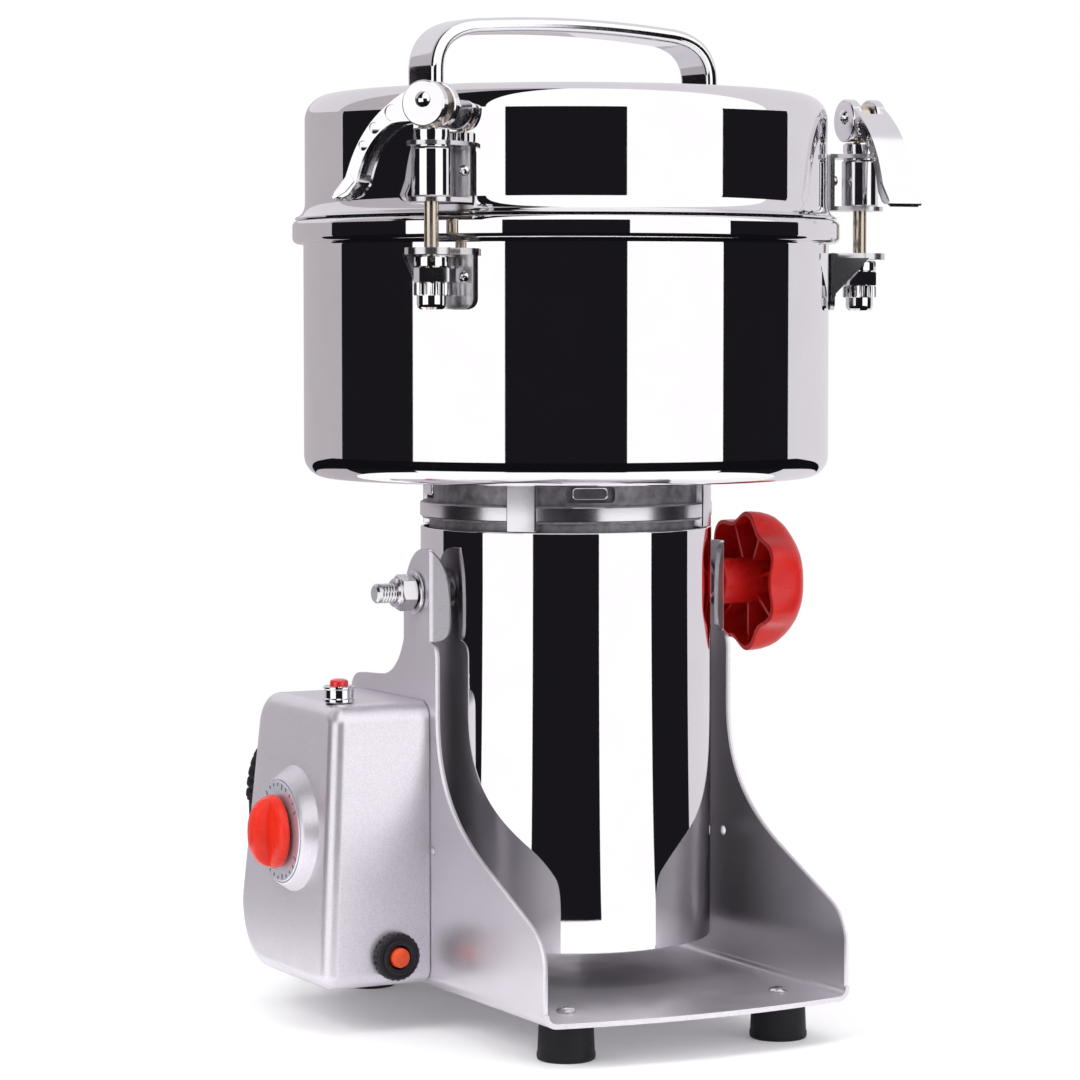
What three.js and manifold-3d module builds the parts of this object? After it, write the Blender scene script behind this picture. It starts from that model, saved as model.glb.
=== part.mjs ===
// Swing-type electric grain mill: a polished grinding chamber on a motor tube,
// which tilts in a sheet-metal yoke with a switch box on its left arm.
// Millimetres, +Z up. X runs along the tilt pivots (switch box at -X, clamp
// knob at +X), -Y is the open front, and the ground is z = 0.
import * as THREE from 'three';
import { mergeVertices } from 'three/addons/utils/BufferGeometryUtils.js';
import Module from 'manifold-3d';

const wasm = await Module();
wasm.setup();

// ------------------------------------------------------------ driving sizes
const GAP = 0.3;                 // clearance between pieces that touch
const SHEET = 2;                 // yoke sheet thickness
const FOOT_HEIGHT = 16.5;
const FOOT_X = 48;
const FOOT_Y = 91;
const BASE_TOP = FOOT_HEIGHT + SHEET;
const ARM_OUTER = 68.5;          // outer faces of the yoke's arms
const ARM_INNER = ARM_OUTER - SHEET;
const PIVOT_Z = 176.5;
const TUBE_RADIUS = 60;          // motor tube
const TUBE_BOTTOM = 33.5;
const TUBE_TOP = 202;
const BOWL_RADIUS = 107.8;       // grinding chamber
const BOWL_BOTTOM = 222.3;
const RIM_TOP = 327;
const RIM_RADIUS = 112.3;
const LID_RADIUS = 107.1;
const LID_TOP = 377.8;
const CHAMBER_TURN = 7.2;        // chamber fittings sit this far round from the pivots, degrees
const LATCH_ANGLES = [-60, 60, 180].map((angle) => angle + CHAMBER_TURN);
const LATCH_NAMES = ['left', 'right', 'rear'];
const ROD_OFFSET = 122;          // latch rods, from the chamber's axis
const LEVER_TURNS = [3, 19, 3];  // each latch lever turned in towards the lid, degrees
const PIN_Z = 369.9;             // latch lever pins
const CAM_RADIUS = 8.8;
const CAM_OFFSET = 1.4;          // cam centre below its pin while clamped
const BOX_FRONT = -12.5;         // switch box, front face
const BOX_TOP = 133;
const BOX_BOTTOM = 18.5;
const BOX_DEPTH = 46.5;          // from the arm to the box's outer face, at its foot
const BOX_WALL = 1.5;
const TIMER = { y: 24, z: 79.5 };
const BREAKER = { x: -84.5, z: 31.2 };
const POWER = { x: -102.5, y: 1 };
const CORD_RADIUS = 3.5;
const CORD_EXIT = { x: -93.5, y: 70.4, z: 106.5 };
const COIL = { x: 5, y: 168, inner: 24.5, outer: 48.5, top: 14.2 };

// ---------------------------------------------------------------- materials
const finish = (color, roughness, metalness) => new THREE.MeshStandardMaterial({ color, roughness, metalness });
const mirrorSteel = finish(0xdfe0e4, 0.06, 1);
const chrome = finish(0xe4e4ea, 0.12, 1);
const brushedSteel = finish(0xb9b6bb, 0.35, 1);
const castAluminium = finish(0x8d8990, 0.5, 0.9);
const silverPaint = finish(0xb7b4ba, 0.4, 0.5);
const blackPlastic = finish(0x17161b, 0.45, 0);
const blackRubber = finish(0x141416, 0.8, 0);
const redPlastic = finish(0xe0251c, 0.35, 0);
const orangePlastic = finish(0xff3b14, 0.35, 0);
const siliconeWhite = finish(0xe8e6e0, 0.6, 0);
const copper = finish(0xa8562c, 0.4, 0.9);
const electricalSteel = finish(0x5c5c62, 0.5, 0.9);
const carbon = finish(0x222226, 0.7, 0.1);

// ------------------------------------------------------------- solid helpers
const RIGHT_ANGLE = Math.PI / 2;
const radians = (degrees) => degrees * Math.PI / 180;

// Merges shared vertices, drops collapsed triangles and turns the faces outwards.
function closed(geometry) {
  const bare = geometry.clone();
  bare.deleteAttribute('normal');
  bare.deleteAttribute('uv');
  const merged = mergeVertices(bare, 1e-4);
  const source = merged.index.array;
  const point = merged.attributes.position;
  const corner = [new THREE.Vector3(), new THREE.Vector3(), new THREE.Vector3()];
  const index = [];
  let volume = 0;
  for (let i = 0; i < source.length; i += 3) {
    const [a, b, c] = [source[i], source[i + 1], source[i + 2]];
    if (a === b || b === c || c === a) continue;
    index.push(a, b, c);
    corner.forEach((vertex, n) => vertex.fromBufferAttribute(point, source[i + n]));
    volume += corner[0].dot(corner[1].clone().cross(corner[2]));
  }
  if (volume < 0) {
    for (let i = 0; i < index.length; i += 3) {
      [index[i + 1], index[i + 2]] = [index[i + 2], index[i + 1]];
    }
  }
  merged.setIndex(index);
  return merged;
}

function solidOf(geometry) {
  const merged = closed(geometry);
  return new wasm.Manifold(new wasm.Mesh({
    numProp: 3,
    vertProperties: Float32Array.from(merged.attributes.position.array),
    triVerts: Uint32Array.from(merged.index.array),
  }));
}

function geometryOf(solid) {
  const mesh = solid.getMesh();
  const geometry = new THREE.BufferGeometry();
  geometry.setAttribute('position', new THREE.BufferAttribute(Float32Array.from(mesh.vertProperties), 3));
  geometry.setIndex(Array.from(mesh.triVerts));
  return geometry;
}

const join = (first, ...rest) => geometryOf(rest.reduce((sum, piece) => sum.add(solidOf(piece)), solidOf(first)));
const cut = (first, ...rest) => geometryOf(rest.reduce((sum, tool) => sum.subtract(solidOf(tool)), solidOf(first)));
const common = (first, ...rest) => geometryOf(rest.reduce((sum, tool) => sum.intersect(solidOf(tool)), solidOf(first)));

// A cylinder along Z from z0 to z1.
function post(radius, z0, z1, x = 0, y = 0, segments = 20) {
  const geometry = new THREE.CylinderGeometry(radius, radius, z1 - z0, segments);
  geometry.rotateX(RIGHT_ANGLE);
  return geometry.translate(x, y, (z0 + z1) / 2);
}

// A cylinder along X from x0 to x1.
function pinX(radius, x0, x1, y = 0, z = 0, segments = 20) {
  const geometry = new THREE.CylinderGeometry(radius, radius, x1 - x0, segments);
  geometry.rotateZ(RIGHT_ANGLE);
  return geometry.translate((x0 + x1) / 2, y, z);
}

// A cylinder along Y from y0 to y1.
function pinY(radius, y0, y1, x = 0, z = 0, segments = 20) {
  const geometry = new THREE.CylinderGeometry(radius, radius, y1 - y0, segments);
  return geometry.translate(x, (y0 + y1) / 2, z);
}

function block(x0, x1, y0, y1, z0, z1) {
  const geometry = new THREE.BoxGeometry(x1 - x0, y1 - y0, z1 - z0);
  return geometry.translate((x0 + x1) / 2, (y0 + y1) / 2, (z0 + z1) / 2);
}

// A solid of revolution about Z from [radius, z] points.
function turned(profile, segments = 32) {
  const points = profile.map(([radius, z]) => new THREE.Vector2(radius, z));
  points.push(points[0].clone());
  return new THREE.LatheGeometry(points, segments).rotateX(RIGHT_ANGLE);
}

const tube = (inner, outer, z0, z1, segments = 32) => (
  turned([[inner, z0], [outer, z0], [outer, z1], [inner, z1]], segments)
);

// Points of a quarter-like arc in a [radius, z] profile.
function arc(centreR, centreZ, radius, from, to, steps = 5) {
  return Array.from({ length: steps + 1 }, (_, i) => {
    const angle = radians(from + (to - from) * i / steps);
    return [centreR + radius * Math.cos(angle), centreZ + radius * Math.sin(angle)];
  });
}

const extruded = (shape, depth, curveSegments) => (
  new THREE.ExtrudeGeometry(shape, { depth, bevelEnabled: false, curveSegments })
);

// Extrudes an (x, y) outline upwards from z0 to z1.
const plate = (shape, z0, z1, curveSegments = 8) => extruded(shape, z1 - z0, curveSegments).translate(0, 0, z0);

// Turns an extrusion so that its outline lies in (y, z) and its depth runs along +X.
const toSide = (geometry) => geometry.rotateX(RIGHT_ANGLE).rotateZ(RIGHT_ANGLE);

const sidePlate = (shape, x0, x1, curveSegments = 8) => (
  toSide(extruded(shape, x1 - x0, curveSegments)).translate(x0, 0, 0)
);

// Extrudes an (x, z) outline along Y from y0 to y1.
const frontPlate = (shape, y0, y1, curveSegments = 8) => (
  extruded(shape, y1 - y0, curveSegments).rotateX(RIGHT_ANGLE).translate(0, y1, 0)
);

function outline(points) {
  const shape = new THREE.Shape();
  points.forEach(([u, v], i) => (i ? shape.lineTo(u, v) : shape.moveTo(u, v)));
  shape.closePath();
  return shape;
}

// A polygon whose corners are rounded: each point is [u, v, radius].
function rounded(points) {
  const shape = new THREE.Shape();
  points.forEach(([u, v, radius = 0], i) => {
    const corner = new THREE.Vector2(u, v);
    const before = new THREE.Vector2(...points[(i + points.length - 1) % points.length]);
    const after = new THREE.Vector2(...points[(i + 1) % points.length]);
    const start = corner.clone().add(before.sub(corner).setLength(radius));
    const end = corner.clone().add(after.sub(corner).setLength(radius));
    if (i) shape.lineTo(start.x, start.y);
    else shape.moveTo(start.x, start.y);
    if (radius) shape.quadraticCurveTo(u, v, end.x, end.y);
  });
  shape.closePath();
  return shape;
}

function hexagon(acrossFlats) {
  const radius = acrossFlats / 2 / Math.cos(Math.PI / 6);
  return outline(Array.from({ length: 6 }, (_, i) => (
    [radius * Math.cos(i * Math.PI / 3), radius * Math.sin(i * Math.PI / 3)]
  )));
}

// A solid through rings of equally many points; the end rings are convex.
function loft(rings) {
  const count = rings[0].length;
  const index = [];
  for (let row = 0; row + 1 < rings.length; row += 1) {
    for (let i = 0; i < count; i += 1) {
      const next = (i + 1) % count;
      const [a, b, c, d] = [row * count + i, row * count + next, (row + 1) * count + next, (row + 1) * count + i];
      index.push(a, b, c, a, c, d);
    }
  }
  const last = (rings.length - 1) * count;
  for (let i = 1; i + 1 < count; i += 1) {
    index.push(0, i + 1, i);
    index.push(last, last + i, last + i + 1);
  }
  const geometry = new THREE.BufferGeometry();
  geometry.setAttribute('position', new THREE.Float32BufferAttribute(rings.flat(2), 3));
  return geometry.setIndex(index);
}

// A round tube along a list of points, with flat ends.
function cordTube(points, steps) {
  const path = new THREE.CatmullRomCurve3(points.map((point) => new THREE.Vector3(...point)));
  const section = new THREE.Shape();
  section.absarc(0, 0, CORD_RADIUS, 0, 2 * Math.PI);
  return new THREE.ExtrudeGeometry(section, { steps, extrudePath: path, curveSegments: 4, bevelEnabled: false });
}

// ------------------------------------------------------------- scene helpers
const mill = new THREE.Group();
const stand = new THREE.Group();
const lidGroup = new THREE.Group();
const fittings = new THREE.Group();  // chamber fittings, turned from the pivots
fittings.rotation.z = radians(CHAMBER_TURN);

function place(group, name, geometry, material) {
  const mesh = new THREE.Mesh(closed(geometry), material);
  mesh.name = name;
  group.add(mesh);
  return mesh;
}

// --------------------------------------------------------------------- stand
// One bent sheet: the U section, trimmed to the arms' profile and the base's plan.
function yokeFrame() {
  const top = 200;
  const bend = 5;
  const section = new THREE.Shape();
  section.moveTo(-ARM_OUTER, top);
  section.lineTo(-ARM_OUTER, FOOT_HEIGHT + bend);
  section.absarc(-ARM_OUTER + bend, FOOT_HEIGHT + bend, bend, Math.PI, 1.5 * Math.PI);
  section.lineTo(ARM_OUTER - bend, FOOT_HEIGHT);
  section.absarc(ARM_OUTER - bend, FOOT_HEIGHT + bend, bend, -RIGHT_ANGLE, 0);
  section.lineTo(ARM_OUTER, top);
  section.lineTo(ARM_INNER, top);
  section.absarc(ARM_OUTER - bend, FOOT_HEIGHT + bend, bend - SHEET, 0, -RIGHT_ANGLE, true);
  section.lineTo(-ARM_OUTER + bend, BASE_TOP);
  section.absarc(-ARM_OUTER + bend, FOOT_HEIGHT + bend, bend - SHEET, 1.5 * Math.PI, Math.PI, true);
  section.lineTo(-ARM_INNER, top);
  section.closePath();

  const profile = new THREE.Shape();
  profile.moveTo(-125, 0);
  profile.lineTo(-125, 22);
  profile.lineTo(-111, 22);
  profile.lineTo(-111, 40);
  profile.quadraticCurveTo(-110, 50, -99, 55);
  profile.lineTo(-62, 71.5);
  profile.bezierCurveTo(-36, 83, -17.5, 98, -17.5, 128);
  profile.lineTo(-17.5, 150);
  profile.quadraticCurveTo(-17.5, 156, -12, 157);
  profile.lineTo(-12, 194.4);
  profile.lineTo(-7, 194.5);
  profile.bezierCurveTo(4, 194.5, 12, 184, 12, 170);
  profile.lineTo(12, 157);
  profile.quadraticCurveTo(18, 141.5, 34, 140.5);
  profile.lineTo(54, 139.5);
  profile.quadraticCurveTo(63.5, 139, 64, 130);
  profile.lineTo(64, 80);
  profile.quadraticCurveTo(64, 69, 74, 66.5);
  profile.lineTo(99, 55);
  profile.quadraticCurveTo(110, 50, 111, 40);
  profile.lineTo(111, 22);
  profile.lineTo(125, 22);
  profile.lineTo(125, 0);
  profile.closePath();

  const plan = new THREE.Shape();
  plan.moveTo(-80, -109);
  plan.quadraticCurveTo(0, -130, 80, -109);
  plan.lineTo(80, 109);
  plan.quadraticCurveTo(0, 130, -80, 109);
  plan.closePath();

  const sheet = common(
    frontPlate(section, -125, 125, 3),
    sidePlate(profile, -80, 80, 4),
    plate(plan, 0, 210, 8),
  );
  // Stiffening wings bent 45 degrees inwards at the ears' front edges.
  const wing = [[6.4, 157.4], [8.4, 160], [8.8, 168], [8.8, 176], [8.2, 182.6], [5, 189.8], [2, 193]];
  const wings = [];
  for (const side of [-1, 1]) {
    const strip = sidePlate(outline([[-0.2, 157], ...wing, [-0.2, 194.2]]), -SHEET, 0);
    strip.rotateZ(radians(45)).scale(1, -1, 1).translate(ARM_OUTER, -12, 0);
    if (side < 0) strip.scale(-1, 1, 1);
    wings.push(strip);
  }
  const pivotHole = pinX(4.4, -75, 75, 0, PIVOT_Z);
  const fixings = [-1, 1].map((end) => pinX(2, -75, 75, 20 + 35.5 * end, 72.9, 10));
  return cut(join(sheet, ...wings), pivotHole, ...fixings);
}
place(stand, 'yoke_frame', yokeFrame(), silverPaint);

function foot() {
  return turned([
    [2.2, 5], [5, 5], [5, 0], [11.3, 0], [11.5, 3], [10.5, FOOT_HEIGHT - GAP], [2.2, FOOT_HEIGHT - GAP],
  ], 20);
}
for (const [end, y] of [['front', -FOOT_Y], ['rear', FOOT_Y]]) {
  for (const [side, x] of [['left', -FOOT_X], ['right', FOOT_X]]) {
    place(stand, `foot_${end}_${side}`, foot(), blackRubber).position.set(x, y, 0);
  }
}

// ---------------------------------------------------------------- switch box
// The deep-drawn box, seen from the side; inset shrinks it for the inner wall.
function boxBody(inset) {
  const ring = (extra, depth) => {
    const shrink = inset + extra;
    const profile = rounded([
      [BOX_FRONT + shrink, BOX_BOTTOM + shrink, 7],
      [BOX_FRONT + shrink, BOX_TOP - shrink, 8],
      [64.5 - shrink, BOX_TOP - shrink, 15],
      [82 - shrink, BOX_BOTTOM + shrink, 27],
    ].map(([y, z, radius]) => [y, z, radius - shrink]));
    return profile.getPoints(4).slice(0, -1).map(({ x: y, y: z }) => {
      // The outer face leans in towards the top.
      const lean = 1 - 0.1 * (z - BOX_BOTTOM) / (BOX_TOP - BOX_BOTTOM);
      return [-ARM_OUTER - GAP - depth * lean, y, z];
    });
  };
  const edge = 6 - inset;
  const depth = BOX_DEPTH - inset;
  const corner = [0, 45, 90].map((angle) => (
    ring(edge * (1 - Math.cos(radians(angle))), depth - edge + edge * Math.sin(radians(angle)))
  ));
  return loft([ring(0, -5), ...corner]);
}

const TIMER_FACE = -118.7;      // flat top of the raised boss round the timer
function switchBox() {
  const open = block(-ARM_OUTER - GAP, 0, -200, 200, -10, 300);
  const boss = turned([[0, 0], [25.8, 0], [21.5, 7.2], [0, 7.2]], 28);
  boss.rotateY(-RIGHT_ANGLE).translate(TIMER_FACE + 7.2, TIMER.y, TIMER.z);
  return cut(
    join(boxBody(0), boss),
    boxBody(BOX_WALL),
    open,
    pinX(4.6, -123, -100, TIMER.y, TIMER.z),
    pinY(6.5, -20, 0, BREAKER.x, BREAKER.z),
    post(5.2, 120, 140, POWER.x, POWER.y),
    pinY(5.4, 58, 80, CORD_EXIT.x, CORD_EXIT.z),
  );
}
place(stand, 'switch_box', switchBox(), silverPaint);

place(stand, 'timer_dial', cut(
  pinX(20.6, TIMER_FACE - GAP - 1, TIMER_FACE - GAP, TIMER.y, TIMER.z, 28),
  pinX(4.6, -123, -100, TIMER.y, TIMER.z),
), silverPaint);

place(stand, 'timer_mechanism', join(
  pinX(19, -108.9, -84.5, TIMER.y, TIMER.z, 24),
  pinX(4, -112.5, -108.5, TIMER.y, TIMER.z, 16),
  pinX(3, -128.5, -108.5, TIMER.y, TIMER.z, 16),
), brushedSteel);

// Round base with a tall finger grip across it, bored for the timer's shaft.
function timerKnob() {
  const back = TIMER_FACE - 1.7;
  const base = turned([[0, 0], [15, 0], [15, 2], [13.4, 4.4], [0, 6]], 24);
  base.rotateY(-RIGHT_ANGLE).translate(back, TIMER.y, TIMER.z);
  const grip = rounded([[0, -14, 1], [0, 14, 1], [-10.7, 8.6, 7.4], [-10.7, -8.6, 7.4]]);
  const bar = frontPlate(grip, -4, 4, 4).translate(back - 0.5, TIMER.y, TIMER.z);
  return cut(join(base, bar), pinX(3.3, -128.8, -110, TIMER.y, TIMER.z, 16));
}
place(stand, 'timer_knob', timerKnob(), redPlastic);

place(stand, 'power_bezel', cut(
  join(
    post(6.2, BOX_TOP + GAP, 140, POWER.x, POWER.y, 24),
    post(4.9, 110, BOX_TOP + 1, POWER.x, POWER.y),
  ),
  post(4, 133.5, 145, POWER.x, POWER.y),
), chrome);
place(stand, 'power_button', post(3.7, 136.2, 142.6, POWER.x, POWER.y), redPlastic);

place(stand, 'breaker_body', cut(
  join(
    pinY(9.7, -17, BOX_FRONT - GAP, BREAKER.x, BREAKER.z, 24),
    pinY(5.9, -14, -9, BREAKER.x, BREAKER.z),
    pinY(8, -10.6, 18, BREAKER.x, BREAKER.z, 24),
  ),
  pinY(4.75, -20, -7.5, BREAKER.x, BREAKER.z),
), blackPlastic);
place(stand, 'breaker_button', pinY(4.45, -19.6, -10.8, BREAKER.x, BREAKER.z), orangePlastic);

// -------------------------------------------------------------------- mains cord
// A ribbed, tapered bend relief: a turned shape whose axis is bent downwards.
const RELIEF = { straight: 8, bend: 28, sweep: 84 };
function strainRelief() {
  const length = RELIEF.straight + RELIEF.bend * radians(RELIEF.sweep);
  const ribs = 6;
  const profile = [[0, -6], [4.9, -6], [4.9, 0], [8.2, 0], [8.2, 3], [6.4, 3]];
  for (let i = 0; i < ribs; i += 1) {
    const pitch = (length - 5) / ribs;
    const at = 4 + pitch * i;
    const radius = 6.4 - 1.8 * i / ribs;
    profile.push([radius - 1, at + pitch * 0.1], [radius - 1, at + pitch * 0.35]);
    profile.push([radius, at + pitch * 0.45], [radius, at + pitch]);
  }
  profile.push([4.2, length], [0, length]);
  const body = turned(profile, 8);
  const point = body.attributes.position;
  for (let i = 0; i < point.count; i += 1) {
    const [side, rise, along] = [point.getX(i), point.getY(i), point.getZ(i)];
    const turn = Math.max(0, along - RELIEF.straight) / RELIEF.bend;
    const reach = Math.min(along, RELIEF.straight) + RELIEF.bend * Math.sin(turn);
    const drop = RELIEF.bend * (1 - Math.cos(turn));
    point.setXYZ(
      i,
      CORD_EXIT.x + side,
      CORD_EXIT.y + 0.3 + reach + rise * Math.sin(turn),
      CORD_EXIT.z - drop + rise * Math.cos(turn),
    );
  }
  return body;
}
place(stand, 'strain_relief', strainRelief(), blackRubber);

// The cord's own route, hand-placed: down behind the box, then to the coil.
const CORD_ROUTE = [
  [-93.5, 106.6, 80.8],
  [-92.8, 107.4, 72],
  [-90.6, 108.2, 60],
  [-86.6, 109.4, 46],
  [-80.5, 112.0, 32],
  [-72.2, 116.3, 19.5],
  [-61.4, 121.4, 9.6],
  [-49.4, 124.8, 4.7],
  [-36, 125.2, 3.6],
  [-22.3, 123.2, 3.6],
];
place(stand, 'cord_run', cordTube(CORD_ROUTE, 20), blackRubber);
place(stand, 'cord_coil', tube(COIL.inner, COIL.outer, 0, COIL.top), blackRubber)
  .position.set(COIL.x, COIL.y, 0);

// A strap round the coil's section.
function cordTie() {
  const inner = rounded([[23.9, -5], [23.9, 14.6, 0.4], [49.1, 14.6, 0.4], [49.1, -5]]);
  const outer = rounded([[22.9, -4], [22.9, 15.6, 1.6], [50.1, 15.6, 1.6], [50.1, -4]]);
  const band = cut(frontPlate(outer, -3, 3, 4), frontPlate(inner, -4, 4, 4));
  return common(band, block(15, 60, -5, 5, 0.02, 20)).rotateZ(radians(150));
}
place(stand, 'cord_tie', cordTie(), blackPlastic).position.set(COIL.x, COIL.y, 0);

// The last stretch climbs over the coil to the plug that lies on it.
const TAIL_ROUTE = [[44.9, 190, 18.6], [38.5, 199.5, 22.5], [29.5, 206.2, 25.6], [18.4, 208.2, 26.8]];
place(stand, 'cord_tail', cordTube(TAIL_ROUTE, 6), blackRubber);

// Plug with a short bend relief and two round pins, axis along -X.
function mainsPlug() {
  const axisZ = 26.8;
  const body = rounded([[-30, -11, 5], [-30, 11, 5], [-2, 8, 4], [-2, -8, 4]]);
  return join(
    plate(body, axisZ - 12, axisZ + 12),
    pinX(5.2, -3, 14, 0, axisZ, 16),
    pinX(2.4, -49, -29, 6.5, axisZ, 12),
    pinX(2.4, -49, -29, -6.5, axisZ, 12),
  );
}
place(stand, 'mains_plug', mainsPlug(), blackPlastic).position.set(3, 208.2, 0);

// ------------------------------------------------------------- tilt trunnions
// Each trunnion is a boss against the tube with a threaded end through the arm.
for (const [side, sign, end] of [['left', -1, 87.3], ['right', 1, 94]]) {
  const trunnion = join(
    pinX(10, TUBE_RADIUS + GAP, ARM_INNER - GAP, 0, PIVOT_Z, 24),
    pinX(4, ARM_INNER - 1, end, 0, PIVOT_Z),
  );
  if (sign < 0) trunnion.scale(-1, 1, 1);
  place(mill, `trunnion_${side}`, trunnion, brushedSteel);
}
place(mill, 'pivot_washer', cut(
  pinX(8.6, -ARM_OUTER - GAP - 1.6, -ARM_OUTER - GAP, 0, PIVOT_Z),
  pinX(4.3, -80, -60, 0, PIVOT_Z),
), chrome);
place(mill, 'pivot_nut', cut(
  sidePlate(hexagon(13), -78.9, -70.7).translate(0, 0, PIVOT_Z),
  pinX(4.3, -90, -60, 0, PIVOT_Z),
), chrome);
place(mill, 'clamp_washer', cut(
  pinX(8.6, ARM_OUTER + GAP, ARM_OUTER + GAP + 1.6, 0, PIVOT_Z),
  pinX(4.3, 60, 80, 0, PIVOT_Z),
), chrome);

// Hollow lobed hand knob, open towards the arm, with a hub on the threaded end.
function clampKnob() {
  const lobes = 7;
  const ring = (radius, wave) => Array.from({ length: 42 }, (_, i) => {
    const angle = 2 * Math.PI * i / 42;
    const reach = radius + wave * Math.cos(lobes * angle);
    return [reach * Math.cos(angle), reach * Math.sin(angle)];
  });
  const shell = loft([
    [83, 5, 0], [83, 27.8, 2.3], [90, 27.9, 1.7], [96, 27.2, 0.6], [99.8, 25.4, 0.2], [102.3, 22, 0], [103.5, 17.5, 0],
  ].map(([x, radius, wave]) => ring(radius, wave).map(([y, z]) => [x, y, z + PIVOT_Z])));
  const hollow = sidePlate(outline(ring(24.6, 1)), 60, 97).translate(0, 0, PIVOT_Z);
  const hub = pinX(9.7, 70.7, 100, 0, PIVOT_Z, 24);
  return cut(join(cut(shell, hollow), hub), pinX(4.3, 60, 95.5, 0, PIVOT_Z));
}
place(mill, 'clamp_knob', clampKnob(), redPlastic);

// ---------------------------------------------------------------------- motor
place(mill, 'motor_tube', tube(TUBE_RADIUS - 1.2, TUBE_RADIUS, TUBE_BOTTOM, TUBE_TOP, 48), mirrorSteel);

// Cast end bracket: carries the upper bearing and holds the bowl off the tube.
function motorBracket() {
  const core = turned([
    [8, 221.9], [8, 203.8], [16.3, 203.8], [16.3, 192], [20.5, 192], [22, 205.5],
    [50, 205.5], [50, 187], [56.5, 187], [56.5, 205.5], [59.5, 205.5],
    [59.5, 212.5], [57.3, 212.5], [57.3, 221.9],
  ], 32);
  const pockets = [0, 90, 180, 270].map((angle) => {
    const pocket = block(-15, 15, -62, -54.6, 213.4, 220.6);
    return pocket.rotateZ(radians(angle + CHAMBER_TURN));
  });
  const legs = [45, 135, 225, 315].map((angle) => {
    const leg = common(block(-6.4, 6.4, -70, -55.8, 202.3, 221.9), post(TUBE_RADIUS, 200, 225, 0, 0, 48));
    return leg.rotateZ(radians(angle));
  });
  return join(cut(core, ...pockets), ...legs);
}
place(mill, 'motor_bracket', motorBracket(), castAluminium);

place(mill, 'bearing_upper', tube(6.3, 16, 194, 203.5, 24), brushedSteel);
place(mill, 'bearing_lower', tube(6.3, 13, 37.4, 46, 24), brushedSteel);

// Vented bottom cap with the lower bearing's seat and the brush holders.
function endCap() {
  const cap = turned([
    [4, 33.8], [58.2, 33.8], [58.2, 46], [55.8, 46], [55.8, 37], [17.5, 37],
    [17.5, 47], [13.3, 47], [13.3, 37], [4, 37],
  ], 28);
  const slots = Array.from({ length: 8 }, (_, i) => (
    block(-4, 4, 26, 50, 30, 40).rotateZ(radians(45 * i + 22.5))
  ));
  const holders = [-1, 1].map((side) => {
    const holder = cut(block(-6, 6, 20.5, 42, 36, 65), block(-3.8, 3.8, 0, 38, 51.7, 62.3));
    return side < 0 ? holder.rotateZ(Math.PI) : holder;
  });
  return join(cut(cap, ...slots), ...holders);
}
place(mill, 'motor_end_cap', endCap(), blackPlastic);
for (const [end, turn] of [['front', Math.PI], ['rear', 0]]) {
  place(mill, `carbon_brush_${end}`, block(-3.5, 3.5, 15.4, 36, 52, 62).rotateZ(turn), carbon);
}

place(mill, 'stator', turned([
  [34.5, 82], [37, 82], [38, 67], [51, 67], [52, 82], [56.5, 82],
  [56.5, 148], [52, 148], [51, 162], [38, 162], [37, 148], [34.5, 148],
], 24), electricalSteel);

// ---------------------------------------------------------------------- rotor
place(mill, 'rotor_shaft', join(post(6, 38, 229, 0, 0, 24), post(5, 228, 255)), brushedSteel);
place(mill, 'armature', turned([
  [6.3, 50.5], [15, 50.5], [15, 64], [12, 67], [26, 69], [28, 82], [33.6, 82],
  [33.6, 148], [28, 148], [26, 160], [6.3, 162],
], 20), copper);

function coolingFan() {
  const disc = tube(6.3, 50, 166, 168, 24);
  const hub = tube(6.3, 14, 166, 186, 20);
  const blades = Array.from({ length: 9 }, (_, i) => (
    block(-1, 1, 13.5, 48, 167, 184).rotateZ(2 * Math.PI * i / 9)
  ));
  return join(disc, hub, ...blades);
}
place(mill, 'cooling_fan', coolingFan(), blackPlastic);

// Flat two-winged grinding blade; the tips bend by `rise` at 30 degrees.
function blade(reach, width, z, rise) {
  const flat = reach * 0.62;
  const thick = 2.5;
  const wing = outline([[-flat, 0], [flat, 0], [reach, rise], [reach, rise + thick], [flat, thick],
    [-flat, thick], [-reach, rise + thick], [-reach, rise]]);
  const plan = rounded([[-reach, -width * 0.28, 3], [-20, -width / 2, 6], [20, -width / 2, 6],
    [reach, -width * 0.28, 3], [reach, width * 0.28, 3], [20, width / 2, 6], [-20, width / 2, 6],
    [-reach, width * 0.28, 3]]);
  return common(frontPlate(wing, -40, 40).translate(0, 0, z), plate(plan, z - 40, z + 60, 3));
}
const bladeBore = post(5.3, 220, 270);
place(mill, 'lower_blade', cut(join(
  blade(96, 30, 229.6, 0).rotateZ(radians(20)),
  post(11, 231, 245.4),
), bladeBore), mirrorSteel);
place(mill, 'upper_blade', cut(blade(78, 28, 245.8, 14).rotateZ(radians(-55)), bladeBore), mirrorSteel);
place(mill, 'blade_nut', cut(join(
  plate(hexagon(16), 248.7, 258),
  post(6.4, 257, 259.5, 0, 0, 16),
), post(5.3, 240, 256)), chrome);

// -------------------------------------------------------------------- chamber
const BOWL_WALL = 1.3;
place(mill, 'bowl', turned([
  [9, BOWL_BOTTOM], ...arc(BOWL_RADIUS - 9.4, BOWL_BOTTOM + 9, 9, -90, 0, 3),
  [BOWL_RADIUS, 317.4], [110.6, 317.4], [RIM_RADIUS, 319.4],
  [RIM_RADIUS, 324.8], [109.8, RIM_TOP], [BOWL_RADIUS - BOWL_WALL, RIM_TOP],
  ...arc(BOWL_RADIUS - 9.4, BOWL_BOTTOM + 9, 9 - BOWL_WALL, 0, -90, 3),
  [9, BOWL_BOTTOM + BOWL_WALL],
], 48), mirrorSteel);

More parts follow.
